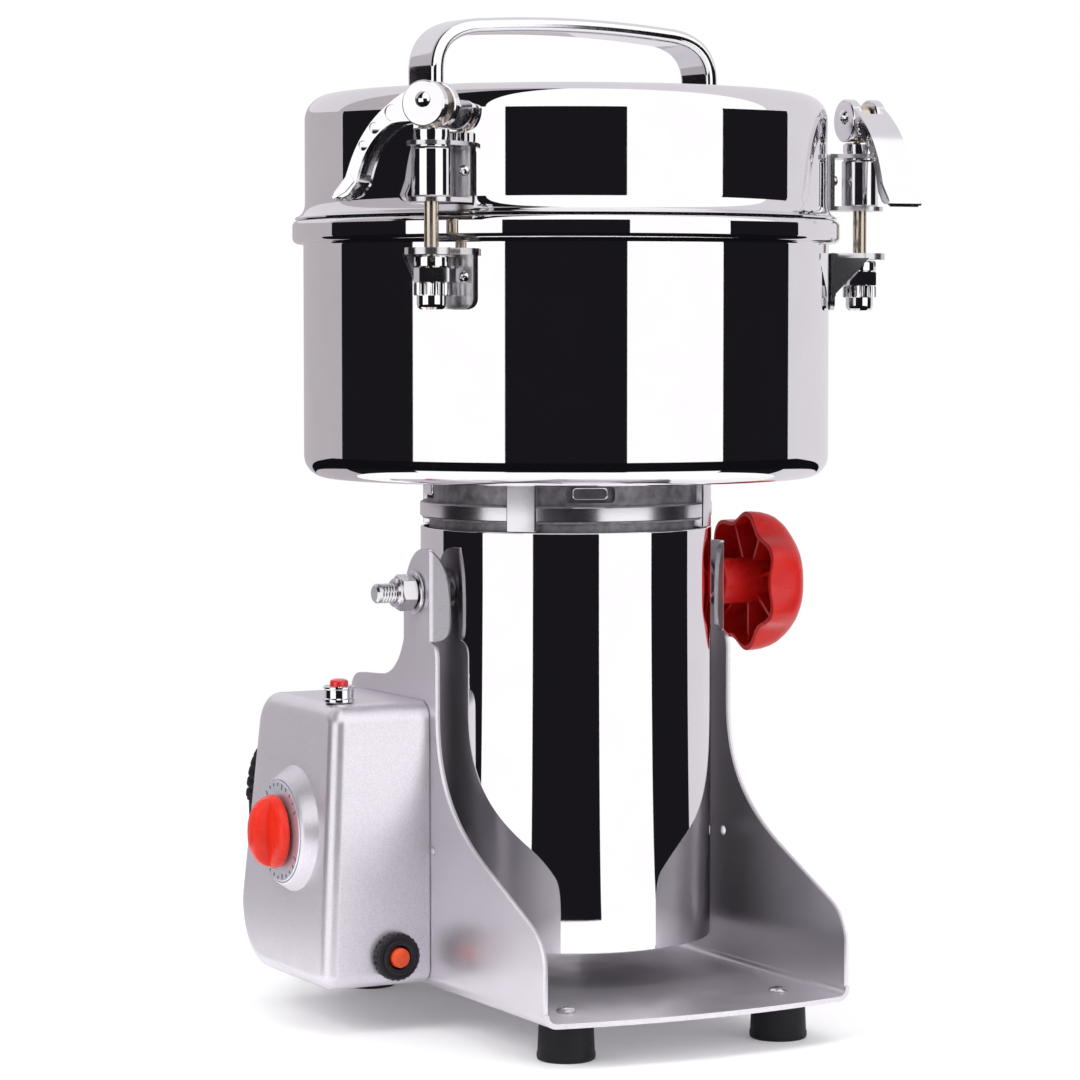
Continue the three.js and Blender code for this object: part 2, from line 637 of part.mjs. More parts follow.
place(mill, 'shaft_seal', turned([
  [6.4, 222.6], [8.6, 222.6], [8.6, 223.9], [20, 223.9], [20, 225.4], [15, 227.4], [6.4, 227.4],
], 24), blackRubber);

place(lidGroup, 'lid', turned([
  [0, LID_TOP], ...arc(LID_RADIUS - 10, LID_TOP - 10, 10, 90, 0, 3),
  [LID_RADIUS, 333], [108.6, 329], [111, RIM_TOP + GAP], [105.8, RIM_TOP + GAP],
  ...arc(LID_RADIUS - 10, LID_TOP - 10, 8.7, 0, 90, 3), [0, LID_TOP - 1.3],
], 48), mirrorSteel);
place(lidGroup, 'seal_ring', tube(102.2, 105.4, 321.5, 334, 36), siliconeWhite);

// Chromed carrying handle: a flat bar bent to a low arch.
function handle() {
  const half = 71.5;
  const bar = 6;
  const foot = LID_TOP + GAP;
  const shape = new THREE.Shape();
  shape.moveTo(-half, foot);
  shape.lineTo(-half, 390);
  shape.quadraticCurveTo(-half, 406.5, -46, 407.5);
  shape.quadraticCurveTo(0, 411.1, 46, 407.5);
  shape.quadraticCurveTo(half, 406.5, half, 390);
  shape.lineTo(half, foot);
  shape.lineTo(half - bar, foot);
  shape.lineTo(half - bar, 390);
  shape.quadraticCurveTo(half - bar, 400.7, 44, 401.5);
  shape.quadraticCurveTo(0, 405.1, -44, 401.5);
  shape.quadraticCurveTo(-half + bar, 400.7, -half + bar, 390);
  shape.lineTo(-half + bar, foot);
  shape.closePath();
  const bevel = 2.3;
  const geometry = new THREE.ExtrudeGeometry(shape, {
    depth: 20 - 2 * bevel,
    bevelThickness: bevel,
    bevelSize: bevel * 0.8,
    bevelOffset: -bevel * 0.8,
    bevelSegments: 2,
    curveSegments: 4,
  });
  geometry.rotateX(RIGHT_ANGLE).translate(0, 10 - bevel, 0);
  return cut(geometry, block(-90, 90, -20, 20, 370, foot));
}
fittings.add(place(lidGroup, 'handle', handle(), chrome));

// -------------------------------------------------------------------- latches
// Each latch is drawn at the front, at -Y, and its group turns to its place.
const PLATE_BACK = -108.1;

// Plate outline from the chamber wall to a round nose about the rod's axis.
function noseOutline(nose, wide) {
  const shape = new THREE.Shape();
  shape.moveTo(-wide, PLATE_BACK);
  shape.lineTo(-wide, PLATE_BACK - 4);
  shape.lineTo(-nose, -ROD_OFFSET);
  shape.absarc(0, -ROD_OFFSET, nose, Math.PI, 2 * Math.PI);
  shape.lineTo(wide, PLATE_BACK - 4);
  shape.lineTo(wide, PLATE_BACK);
  shape.closePath();
  return shape;
}

// C-shaped bracket on the lid, with the polished guide sleeve captive in it.
function upperBracket() {
  const wide = 10.5;
  const back = block(-wide, wide, PLATE_BACK - 1.7, PLATE_BACK, 331.4, 354.4);
  const shelf = plate(noseOutline(9.5, wide), 331.4, 333.2, 5);
  const ceiling = plate(noseOutline(9.5, wide), 352.9, 354.6, 5);
  const sleeve = post(7.6, 333, 359.4, 0, -ROD_OFFSET);
  return cut(join(back, shelf, ceiling, sleeve), post(3.2, 320, 365, 0, -ROD_OFFSET, 12));
}

// Angle bracket on the bowl with an open slot for the rod and one gusset.
function lowerBracket() {
  const wide = 11.8;
  const back = rounded([[-wide, 290.6, 3], [wide, 290.6, 3], [wide, 314, 0.5], [-wide, 314, 0.5]]);
  const gusset = outline([[PLATE_BACK, 296], [PLATE_BACK, 312], [PLATE_BACK - 16, 312]]);
  return cut(
    join(
      frontPlate(back, PLATE_BACK - 1.8, PLATE_BACK, 2),
      plate(noseOutline(10.4, wide), 311.3, 314, 5),
      sidePlate(gusset, -wide, 1.6 - wide),
    ),
    block(0, 20, -ROD_OFFSET - 3.3, -ROD_OFFSET + 3.3, 300, 320),
    post(3.3, 300, 320, 0, -ROD_OFFSET, 12),
  );
}

function latchRod(turn) {
  const eye = pinY(5, -2.6, 2.6, 0, PIN_Z, 14).rotateZ(radians(turn));
  const bore = pinY(2.85, -5, 5, 0, PIN_Z, 12).rotateZ(radians(turn));
  const shank = post(2.8, 291.6, PIN_Z - 3.6, 0, 0, 12);
  return cut(join(shank, eye), bore).translate(0, -ROD_OFFSET, 0);
}

function adjustingNut() {
  const knurl = outline(Array.from({ length: 24 }, (_, i) => {
    const radius = i % 2 ? 6.9 : 6.4;
    return [radius * Math.cos(i * Math.PI / 12), radius * Math.sin(i * Math.PI / 12)];
  }));
  const nut = cut(
    join(plate(knurl, 297, 310.9), plate(hexagon(10), 290.4, 297.2)),
    post(3.1, 280, 320, 0, 0, 12),
  );
  return nut.translate(0, -ROD_OFFSET, 0);
}

// Cam lever: two round cam cheeks on the pin and a curved grip that hangs down.
function latchLever(turn) {
  const cheek = new THREE.Shape();
  cheek.absarc(0, PIN_Z - CAM_OFFSET, CAM_RADIUS, 0, 2 * Math.PI);
  const cheeks = [-1, 1].map((side) => frontPlate(cheek, side * 5.45 - 2.25, side * 5.45 + 2.25, 9));
  const grip = new THREE.Shape();
  grip.moveTo(-2, PIN_Z + 4.6);
  grip.quadraticCurveTo(-10.5, PIN_Z + 2.6, -16.5, PIN_Z - 3);
  grip.quadraticCurveTo(-28.5, PIN_Z - 12.5, -32.5, PIN_Z - 27.5);
  grip.lineTo(-38.5, PIN_Z - 36.5);
  grip.quadraticCurveTo(-31.5, PIN_Z - 38, -29.3, PIN_Z - 32.5);
  grip.quadraticCurveTo(-27, PIN_Z - 20.5, -18.5, PIN_Z - 12);
  grip.quadraticCurveTo(-12.5, PIN_Z - 7, -6, PIN_Z - 7.4);
  grip.closePath();
  const slot = block(-10.6, 12, -3.2, 3.2, PIN_Z - 20, PIN_Z + 20);
  const pin = pinY(2.5, -9.2, 9.2, 0, PIN_Z, 12);
  const lever = join(cut(join(frontPlate(grip, -7.2, 7.2, 4), ...cheeks), slot), pin);
  return lever.rotateZ(radians(turn)).translate(0, -ROD_OFFSET, 0);
}

LATCH_ANGLES.forEach((angle, i) => {
  const latch = new THREE.Group();
  latch.rotation.z = radians(angle);
  const name = LATCH_NAMES[i];
  place(latch, `upper_bracket_${name}`, upperBracket(), chrome);
  place(latch, `lower_bracket_${name}`, lowerBracket(), brushedSteel);
  place(latch, `latch_rod_${name}`, latchRod(LEVER_TURNS[i]), brushedSteel);
  place(latch, `adjusting_nut_${name}`, adjustingNut(), chrome);
  place(latch, `latch_lever_${name}`, latchLever(LEVER_TURNS[i]), chrome);
  mill.add(latch);
});

// ------------------------------------------------------------------ the object
const group = new THREE.Group();
mill.add(lidGroup, fittings);
group.add(stand, mill);
export default group;
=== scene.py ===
"""Swing-type grain mill: camera and cord, studio, materials, then every visible piece.

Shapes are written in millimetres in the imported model's own frame and scaled
once, when a mesh is made. X runs along the tilt pivots, -Y is the open front.
"""
from math import atan2, copysign, cos, pi, radians, sin, tan

import bmesh
import bpy
from mathutils import Matrix, Vector


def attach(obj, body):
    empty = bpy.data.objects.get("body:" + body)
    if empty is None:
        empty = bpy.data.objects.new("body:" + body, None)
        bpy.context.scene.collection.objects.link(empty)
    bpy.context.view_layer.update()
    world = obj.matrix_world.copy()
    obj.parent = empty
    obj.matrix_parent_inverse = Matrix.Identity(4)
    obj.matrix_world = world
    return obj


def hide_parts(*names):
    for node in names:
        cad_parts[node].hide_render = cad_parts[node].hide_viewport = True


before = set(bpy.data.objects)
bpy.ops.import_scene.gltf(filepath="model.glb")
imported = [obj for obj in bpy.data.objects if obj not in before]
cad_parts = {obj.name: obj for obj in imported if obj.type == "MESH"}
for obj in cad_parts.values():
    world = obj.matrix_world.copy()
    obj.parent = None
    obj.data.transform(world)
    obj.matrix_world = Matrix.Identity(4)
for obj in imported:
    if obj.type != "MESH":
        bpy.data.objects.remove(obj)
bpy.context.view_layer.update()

MM = 0.001
SCENE = bpy.context.scene
SIDES = ("left", "right", "rear")


def add_object(name, data):
    made = bpy.data.objects.new(name, data)
    SCENE.collection.objects.link(made)
    return made


# ---- camera
CAMERA_AT = Vector((-0.7141, -1.3486, 0.2854))
CAMERA_HEADING = radians(-27.5)          # turn of its view about Z, from +Y
CAMERA_PITCH = radians(3.36)             # how far it looks below the horizon
FOCAL_PIXELS, FRAME_PIXELS = 3700, 1080
SENSOR = 36                              # millimetres


def make_camera():
    data = bpy.data.cameras.new("camera")
    data.lens = FOCAL_PIXELS / FRAME_PIXELS * SENSOR
    data.sensor_width = SENSOR
    data.clip_start = 0.05
    data.clip_end = 60
    camera = add_object("camera", data)
    turn = Matrix.Rotation(CAMERA_HEADING, 4, "Z")
    tilt = Matrix.Rotation(radians(90) - CAMERA_PITCH, 4, "X")
    camera.matrix_world = Matrix.Translation(CAMERA_AT) @ turn @ tilt
    SCENE.camera = camera


make_camera()

# ---- mesh helpers


def solid(verts, faces):
    """A mesh object from millimetre vertices, with its normals outwards."""
    mesh = bpy.data.meshes.new("tool")
    mesh.from_pydata([Vector(v) * MM for v in verts], [], faces)
    made = bmesh.new()
    made.from_mesh(mesh)
    bmesh.ops.remove_doubles(made, verts=made.verts, dist=1e-7)
    bmesh.ops.dissolve_degenerate(made, edges=made.edges, dist=1e-8)
    bmesh.ops.recalc_face_normals(made, faces=made.faces)
    made.to_mesh(mesh)
    made.free()
    return add_object("tool", mesh)


def orient(point, axis):
    """Turns a point drawn about +Z so that its axis runs along the named axis."""
    x, y, z = point
    return {
        "Z": (x, y, z), "X": (z, x, y), "-X": (-z, y, x), "Y": (y, z, x),
    }[axis]


def lathe(profile, segments=96, axis="Z", at=(0, 0, 0)):
    """A solid of revolution from a closed loop of (radius, height) points."""
    verts, rings, faces = [], [], []
    for radius, height in profile:
        if radius < 1e-6:
            rings.append([len(verts)])
            verts.append((0, 0, height))
            continue
        rings.append(list(range(len(verts), len(verts) + segments)))
        for i in range(segments):
            angle = 2 * pi * i / segments
            verts.append((radius * cos(angle), radius * sin(angle), height))
    for k, ring in enumerate(rings):
        after = rings[(k + 1) % len(rings)]
        if len(ring) == 1 and len(after) == 1:
            continue
        for i in range(segments):
            j = (i + 1) % segments
            corners = (ring[i % len(ring)], after[i % len(after)], after[j % len(after)], ring[j % len(ring)])
            faces.append(tuple(dict.fromkeys(corners)))
    placed = [tuple(a + b for a, b in zip(orient(v, axis), at)) for v in verts]
    return solid(placed, faces)


def disc(bore, radius, low, high, inset, edge):
    """The profile of a disc or washer whose rim is chamfered on both sides."""
    return [(bore, low), (radius - inset, low), (radius, low + edge),
            (radius, high - edge), (radius - inset, high), (bore, high)]


def rod(radius, low, high, axis="Z", at=(0, 0, 0), segments=48, edge=0):
    """A cylinder along an axis, with an optional chamfer at both ends."""
    plain = [(0, low), (radius, low), (radius, high), (0, high)]
    return lathe(disc(0, radius, low, high, edge, edge) if edge else plain, segments, axis, at)


def prism(outline, low, high, plane="XY"):
    """Extrudes an outline: XY upwards, YZ along X, XZ along Y."""
    count = len(outline)
    place = {
        "XY": lambda u, v, w: (u, v, w),
        "YZ": lambda u, v, w: (w, u, v),
        "XZ": lambda u, v, w: (u, w, v),
    }[plane]
    verts = [place(u, v, low) for u, v in outline] + [place(u, v, high) for u, v in outline]
    faces = [tuple(range(count)), tuple(range(2 * count - 1, count - 1, -1))]
    faces += [(i, (i + 1) % count, count + (i + 1) % count, count + i) for i in range(count)]
    return solid(verts, faces)


def block(x0, x1, y0, y1, z0, z1):
    return prism([(x0, y0), (x1, y0), (x1, y1), (x0, y1)], z0, z1)


def loft(rings):
    """A closed solid through rings of equally many points."""
    count = len(rings[0])
    verts = [p for ring in rings for p in ring]
    faces = [tuple(range(count)), tuple(range(len(verts) - 1, len(verts) - count - 1, -1))]
    for row in range(len(rings) - 1):
        for i in range(count):
            j = (i + 1) % count
            faces.append((row * count + i, row * count + j, (row + 1) * count + j, (row + 1) * count + i))
    return solid(verts, faces)


def arc(cx, cy, radius, start, end, steps=8):
    return [
        (cx + radius * cos(radians(start + (end - start) * i / steps)),
         cy + radius * sin(radians(start + (end - start) * i / steps)))
        for i in range(steps + 1)
    ]


def curve(*points, steps=12):
    """A quadratic or cubic Bezier as a list of points."""
    made = []
    for i in range(steps + 1):
        t = i / steps
        level = [Vector(p) for p in points]
        while len(level) > 1:
            level = [a.lerp(b, t) for a, b in zip(level, level[1:])]
        made.append(tuple(level[0]))
    return made


def polar(count, radius, centre=(0, 0)):
    """Points round a circle whose radius is a function of the angle."""
    angles = [2 * pi * i / count for i in range(count)]
    return [(centre[0] + radius(a) * cos(a), centre[1] + radius(a) * sin(a)) for a in angles]


def rounded(corners, steps=6):
    """A polygon of (u, v, radius) corners, each rounded by a true fillet."""
    made = []
    for i, (u, v, radius) in enumerate(corners):
        here = Vector((u, v))
        before = (Vector(corners[i - 1][:2]) - here).normalized()
        after = (Vector(corners[(i + 1) % len(corners)][:2]) - here).normalized()
        if radius <= 0:
            made.append((u, v))
            continue
        half = before.angle(after) / 2
        reach = radius / tan(half)
        centre = here + (before + after).normalized() * radius / sin(half)
        start = here + before * reach - centre
        end = here + after * reach - centre
        first = atan2(start.y, start.x)
        sweep = (atan2(end.y, end.x) - first + pi) % (2 * pi) - pi
        for k in range(steps + 1):
            angle = first + sweep * k / steps
            made.append((centre.x + radius * cos(angle), centre.y + radius * sin(angle)))
    return made


def rounded_box(half, low, high, radius, top_radius=None):
    """A rectangle symmetric about u = 0, its corners rounded."""
    top = radius if top_radius is None else top_radius
    return rounded([(-half, low, radius), (half, low, radius), (half, high, top), (-half, high, top)])


def discard(pieces):
    for piece in pieces:
        mesh = piece.data
        bpy.data.objects.remove(piece)
        bpy.data.meshes.remove(mesh)


def bake(piece):
    """Applies a piece's modifiers to its mesh."""
    shown = piece.evaluated_get(bpy.context.evaluated_depsgraph_get())
    mesh = bpy.data.meshes.new_from_object(shown)
    old = piece.data
    piece.modifiers.clear()
    piece.data = mesh
    bpy.data.meshes.remove(old)
    return piece


def combine(base, operation, *others):
    for other in others:
        modifier = base.modifiers.new("combine", "BOOLEAN")
        modifier.operation = operation
        modifier.solver = "MANIFOLD"
        modifier.object = other
        bake(base)
        discard([other])
    return base


def join(base, *others):
    return combine(base, "UNION", *others)


def cut(base, *others):
    return combine(base, "DIFFERENCE", *others)


def common(base, *others):
    return combine(base, "INTERSECT", *others)


def merge(base, *others):
    """Several bodies that don't touch, kept as one piece."""
    made = bmesh.new()
    for piece in (base, *others):
        made.from_mesh(piece.data)
    made.to_mesh(base.data)
    made.free()
    discard(others)
    return base


def move(piece, matrix):
    piece.data.transform(matrix)
    return piece


def shift(piece, x=0, y=0, z=0):
    return move(piece, Matrix.Translation(Vector((x, y, z)) * MM))


def turn_z(piece, degrees):
    return move(piece, Matrix.Rotation(radians(degrees), 4, "Z"))


def remap(piece, place):
    """Moves each vertex to where `place` puts its millimetre coordinates."""
    for vertex in piece.data.vertices:
        vertex.co = Vector(place(*(vertex.co / MM))) * MM
    return piece


def copy_of(piece):
    return add_object(piece.name, piece.data.copy())


def soften(piece, width, segments=2, angle=40):
    """Rounds the sharp edges of a piece by a small radius."""
    modifier = piece.modifiers.new("bevel", "BEVEL")
    modifier.width = width * MM
    modifier.segments = segments
    modifier.limit_method = "ANGLE"
    modifier.angle_limit = radians(angle)
    return bake(piece)


def finish(piece, name, body, material, slot, *nodes, smooth=34):
    """Names a piece, gives it its finish, and puts it on its body."""
    piece.name = name
    piece.data.materials.clear()
    piece.data.materials.append(material)
    piece.data.polygons.foreach_set("use_smooth", [True] * len(piece.data.polygons))
    piece.data.set_sharp_from_angle(angle=radians(smooth))
    normals = piece.modifiers.new("normals", "WEIGHTED_NORMAL")
    normals.keep_sharp = True
    bake(piece)
    piece.data.name = name
    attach(piece, body)
    if nodes:
        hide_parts(*nodes)
    return piece


# ---- materials
MIX_A, MIX_B, MIX_RESULT = 6, 7, 2       # colour sockets of the Mix node


def feed(node, inputs):
    """Sets each named input of a node to a value, or links it to a socket."""
    for name, value in inputs.items():
        if isinstance(value, bpy.types.NodeSocket):
            node.id_data.links.new(value, node.inputs[name])
        else:
            node.inputs[name].default_value = value
    return node


def add_node(tree, kind, inputs=None, **settings):
    node = tree.nodes.new("ShaderNode" + kind)
    for setting, value in settings.items():
        setattr(node, setting, value)
    return feed(node, inputs or {})


class Finish:
    """A node material whose colour, roughness and bump come from noise."""

    def __init__(self, name, color, roughness, metallic=0, **sockets):
        self.material = bpy.data.materials.new(name)
        self.material.use_nodes = True
        self.tree = self.material.node_tree
        self.shader = self.tree.nodes["Principled BSDF"]
        self.color = color
        feed(self.shader, {"Base Color": (*color, 1), "Roughness": roughness, "Metallic": metallic})
        feed(self.shader, {name.replace("_", " "): value for name, value in sockets.items()})
        self.place = add_node(self.tree, "TexCoord").outputs["Object"]
        self.height = None

    def noise(self, scale, detail=3, stretch=(1, 1, 1)):
        """Noise of `scale` cells per metre, stretched along the axes."""
        mapping = add_node(self.tree, "Mapping", {"Vector": self.place, "Scale": stretch})
        inputs = {"Vector": mapping.outputs["Vector"], "Scale": scale, "Detail": detail, "Roughness": 0.55}
        return add_node(self.tree, "TexNoise", inputs).outputs["Fac"]

    def ranged(self, source, low, high, start=0.3, end=0.7):
        inputs = {"Value": source, "From Min": start, "From Max": end, "To Min": low, "To Max": high}
        return add_node(self.tree, "MapRange", inputs).outputs["Result"]

    def tint(self, source, dark, light, start=0.3, end=0.7):
        """The colour runs from `dark` to `light` times the base colour."""
        ends = [(*[min(1, c * gain) for c in self.color], 1) for gain in (dark, light)]
        made = add_node(self.tree, "Mix", {MIX_A: ends[0], MIX_B: ends[1]}, data_type="RGBA")
        feed(made, {"Factor": self.ranged(source, 0, 1, start, end)})
        feed(self.shader, {"Base Color": made.outputs[MIX_RESULT]})

    def rough(self, source, low, high, start=0.3, end=0.7):
        feed(self.shader, {"Roughness": self.ranged(source, low, high, start, end)})

    def bump(self, source, distance, strength=1):
        """Adds a bump of `distance` millimetres on top of any earlier one."""
        made = add_node(self.tree, "Bump", {"Height": source, "Strength": strength, "Distance": distance * MM})
        if self.height:
            feed(made, {"Normal": self.height})
        self.height = made.outputs["Normal"]
        feed(self.shader, {"Normal": self.height})


def polished(name, color, low, high, grain=0.0006, stretch=(1, 1, 18)):
    """Mirror-polished steel: faint buffing lines, and smudges in its gloss."""
    made = Finish(name, color, low, 1)
    smudge = made.noise(38, 4)
    lines = made.noise(900, 2, stretch)
    made.tint(made.noise(60, 3), 0.965, 1)
    made.rough(smudge, low, high, 0.42, 0.74)
    made.bump(lines, grain, 0.35)
    return made.material


def painted(name, color, flake=2600, speckle=(0.9, 1.06)):
    """Satin silver paint: metallic flake, a soft orange peel, light dulling."""
    made = Finish(name, color, 0.34, 0.8, Coat_Weight=0.16, Coat_Roughness=0.2)
    fine = made.noise(flake, 1.5)
    made.tint(fine, speckle[0], speckle[1], 0.36, 0.64)
    made.rough(made.noise(70, 4), 0.3, 0.39)
    made.bump(made.noise(420, 2), 0.01, 0.3)
    made.bump(fine, 0.0025, 0.25)
    return made


def shade_arm_insides(made):
    """Painted shade: the paint is darkened on the inner faces of the yoke's arms, where they stand in shade."""
    parts = add_node(made.tree, "SeparateXYZ", {"Vector": made.place})
    across = add_node(made.tree, "Math", {0: parts.outputs["X"]}, operation="ABSOLUTE")
    # painted shade mask: the inner faces go down to 0.52 of the paint colour, and the arms' lowest part keeps its
    # full colour
    depth = made.ranged(across.outputs["Value"], 0.52, 1, 0.0671, 0.0677)
    height = made.ranged(parts.outputs["Z"], 1, 0, 0.022, 0.06)
    inside_shade_mask = add_node(made.tree, "Math", {0: depth, 1: height}, operation="MAXIMUM")
    paint = made.shader.inputs["Base Color"].links[0].from_socket
    shade = add_node(made.tree, "Mix", {MIX_A: paint, MIX_B: inside_shade_mask.outputs["Value"]}, data_type="RGBA",
                     blend_type="MULTIPLY")
    feed(shade, {"Factor": 1.0})
    feed(made.shader, {"Base Color": shade.outputs[MIX_RESULT]})
    return made.material


def moulded(name, color, roughness, peel=0.01, grain=1500, metallic=0, **sockets):
    """Moulded plastic or rubber: fine grain, slight colour and gloss drift."""
    made = Finish(name, color, roughness, metallic, **sockets)
    made.tint(made.noise(45, 3), 0.86, 1.1)
    made.rough(made.noise(130, 3), roughness * 0.82, min(1, roughness * 1.2))
    made.bump(made.noise(grain, 2), peel, 0.5)
    return made.material


def cast(name, color, roughness):
    """As-cast aluminium: pitted skin with dark pockets."""
    made = Finish(name, color, roughness, 0.85)
    made.tint(made.noise(240, 4), 0.62, 1.18)
    made.rough(made.noise(150, 3), roughness * 0.8, roughness * 1.25)
    made.bump(made.noise(650, 4), 0.09, 0.55)
    made.bump(made.noise(120, 3), 0.15, 0.3)
    return made.material


STEEL = polished("polished_steel", (0.84, 0.825, 0.845), 0.012, 0.036)
BLADE = polished("ground_blade_steel", (0.66, 0.66, 0.68), 0.14, 0.26, 0.004, (14, 1, 1))
CHROME = polished("bright_chrome", (0.86, 0.855, 0.875), 0.035, 0.1, 0.0004, (1, 1, 4))
DIECAST = polished("plated_lever", (0.84, 0.83, 0.85), 0.12, 0.2, 0.0008, (1, 1, 3))
ZINC = polished("bright_zinc", (0.7, 0.69, 0.71), 0.16, 0.27, 0.003, (1, 1, 8))
MACHINED = polished("machined_steel", (0.62, 0.61, 0.63), 0.2, 0.32, 0.004, (1, 1, 14))
BRASSY = polished("passivated_rod", (0.66, 0.58, 0.47), 0.18, 0.3, 0.004, (1, 1, 10))
CASTING = cast("cast_aluminium", (0.3, 0.285, 0.31), 0.46)
TURNED = polished("turned_aluminium", (0.74, 0.72, 0.76), 0.18, 0.28, 0.003, (1, 1, 30))
SILVER = painted("satin_silver_paint", (0.74, 0.705, 0.765)).material
# the yoke's paint, with painted shade on the inner faces of its arms
YOKE_PAINT = shade_arm_insides(painted("yoke_silver_paint", (0.74, 0.705, 0.765)))
DIAL = painted("dial_plate", (0.76, 0.77, 0.86), 3200, (0.94, 1.04)).material
RED = moulded("red_handwheel", (0.56, 0.01, 0.008), 0.3, 0.014, 700, Specular_IOR_Level=0.3)
ORANGE_RED = moulded("timer_red", (0.7, 0.022, 0.008), 0.28, 0.01, 900, Specular_IOR_Level=0.32)
ORANGE = moulded("reset_orange", (0.8, 0.085, 0.02), 0.26, 0.008, 900, Specular_IOR_Level=0.35)
LENS = moulded("red_lens", (0.62, 0.018, 0.022), 0.12, 0.004, 500, Coat_Weight=0.6, Coat_Roughness=0.06)
BLACK = moulded("black_plastic", (0.012, 0.01, 0.015), 0.36, 0.012, 1100, Specular_IOR_Level=0.3)
RUBBER = moulded("black_rubber", (0.009, 0.009, 0.011), 0.58, 0.03, 1300, Specular_IOR_Level=0.25)
CORD = moulded("cord_sheath", (0.012, 0.012, 0.014), 0.5, 0.02, 1600)
SILICONE = moulded("white_silicone", (0.82, 0.81, 0.77), 0.46, 0.01, 600, Subsurface_Weight=0.15)
CARBON = moulded("carbon", (0.03, 0.03, 0.034), 0.7, 0.04, 1800)
INK = moulded("dial_ink", (0.1, 0.11, 0.2), 0.55, 0.004, 900)
WINDING = moulded("windings", (0.42, 0.15, 0.05), 0.36, 0.2, 420, 0.7)

# ---- studio


def stage_object(name, verts, faces, material):
    mesh = bpy.data.meshes.new(name)
    mesh.from_pydata(verts, [], faces)
    mesh.materials.append(material)
    made = add_object(name, mesh)
    return made


def glow(name, color, strength):
    material = bpy.data.materials.new(name)
    material.use_nodes = True
    tree = material.node_tree
    tree.nodes.remove(tree.nodes["Principled BSDF"])
    light = add_node(tree, "Emission", {"Color": (*color, 1), "Strength": strength})
    feed(tree.nodes["Material Output"], {"Surface": light.outputs["Emission"]})
    return material


def blend(tree, factor, first, second, output):
    """Mixes two shaders by a factor and sends the result to the output."""
    mix = add_node(tree, "MixShader", {"Fac": factor, 1: first, 2: second})
    feed(tree.nodes[output], {"Surface": mix.outputs["Shader"]})


def ring_point(azimuth, radius, height):
    angle = radians(azimuth)
    return (radius * sin(angle), -radius * cos(angle), height)


def panel(name, start, end, material, section):
    """A studio panel seen only in reflections: a (radius, height) section swept over azimuths."""
    steps = max(3, int((end - start) / 3))
    count = len(section)
    verts, faces = [], []
    for i in range(steps + 1):
        azimuth = start + (end - start) * i / steps
        verts += [ring_point(azimuth, radius, height) for radius, height in section]
        k = count * i
        if i:
            faces += [(j - count, j, j + 1, j + 1 - count) for j in range(k, k + count - 1)]
    made = stage_object(name, verts, faces, material)
    for ray in ("camera", "diffuse", "shadow", "transmission"):
        setattr(made, f"visible_{ray}", False)


def low_flag():
    """A dark ring under the chamber, seen only from above and only in reflections."""
    material = glow("flag_low", (0.3, 0.3, 0.4), 0.02)
    tree = material.node_tree
    clear = add_node(tree, "BsdfTransparent")
    side = add_node(tree, "NewGeometry")
    blend(tree, side.outputs["Backfacing"], tree.nodes["Emission"].outputs["Emission"], clear.outputs["BSDF"],
          "Material Output")
    panel("flag_low", -142, 83, material, [(0.6, 0.208), (0.128, 0.208)])


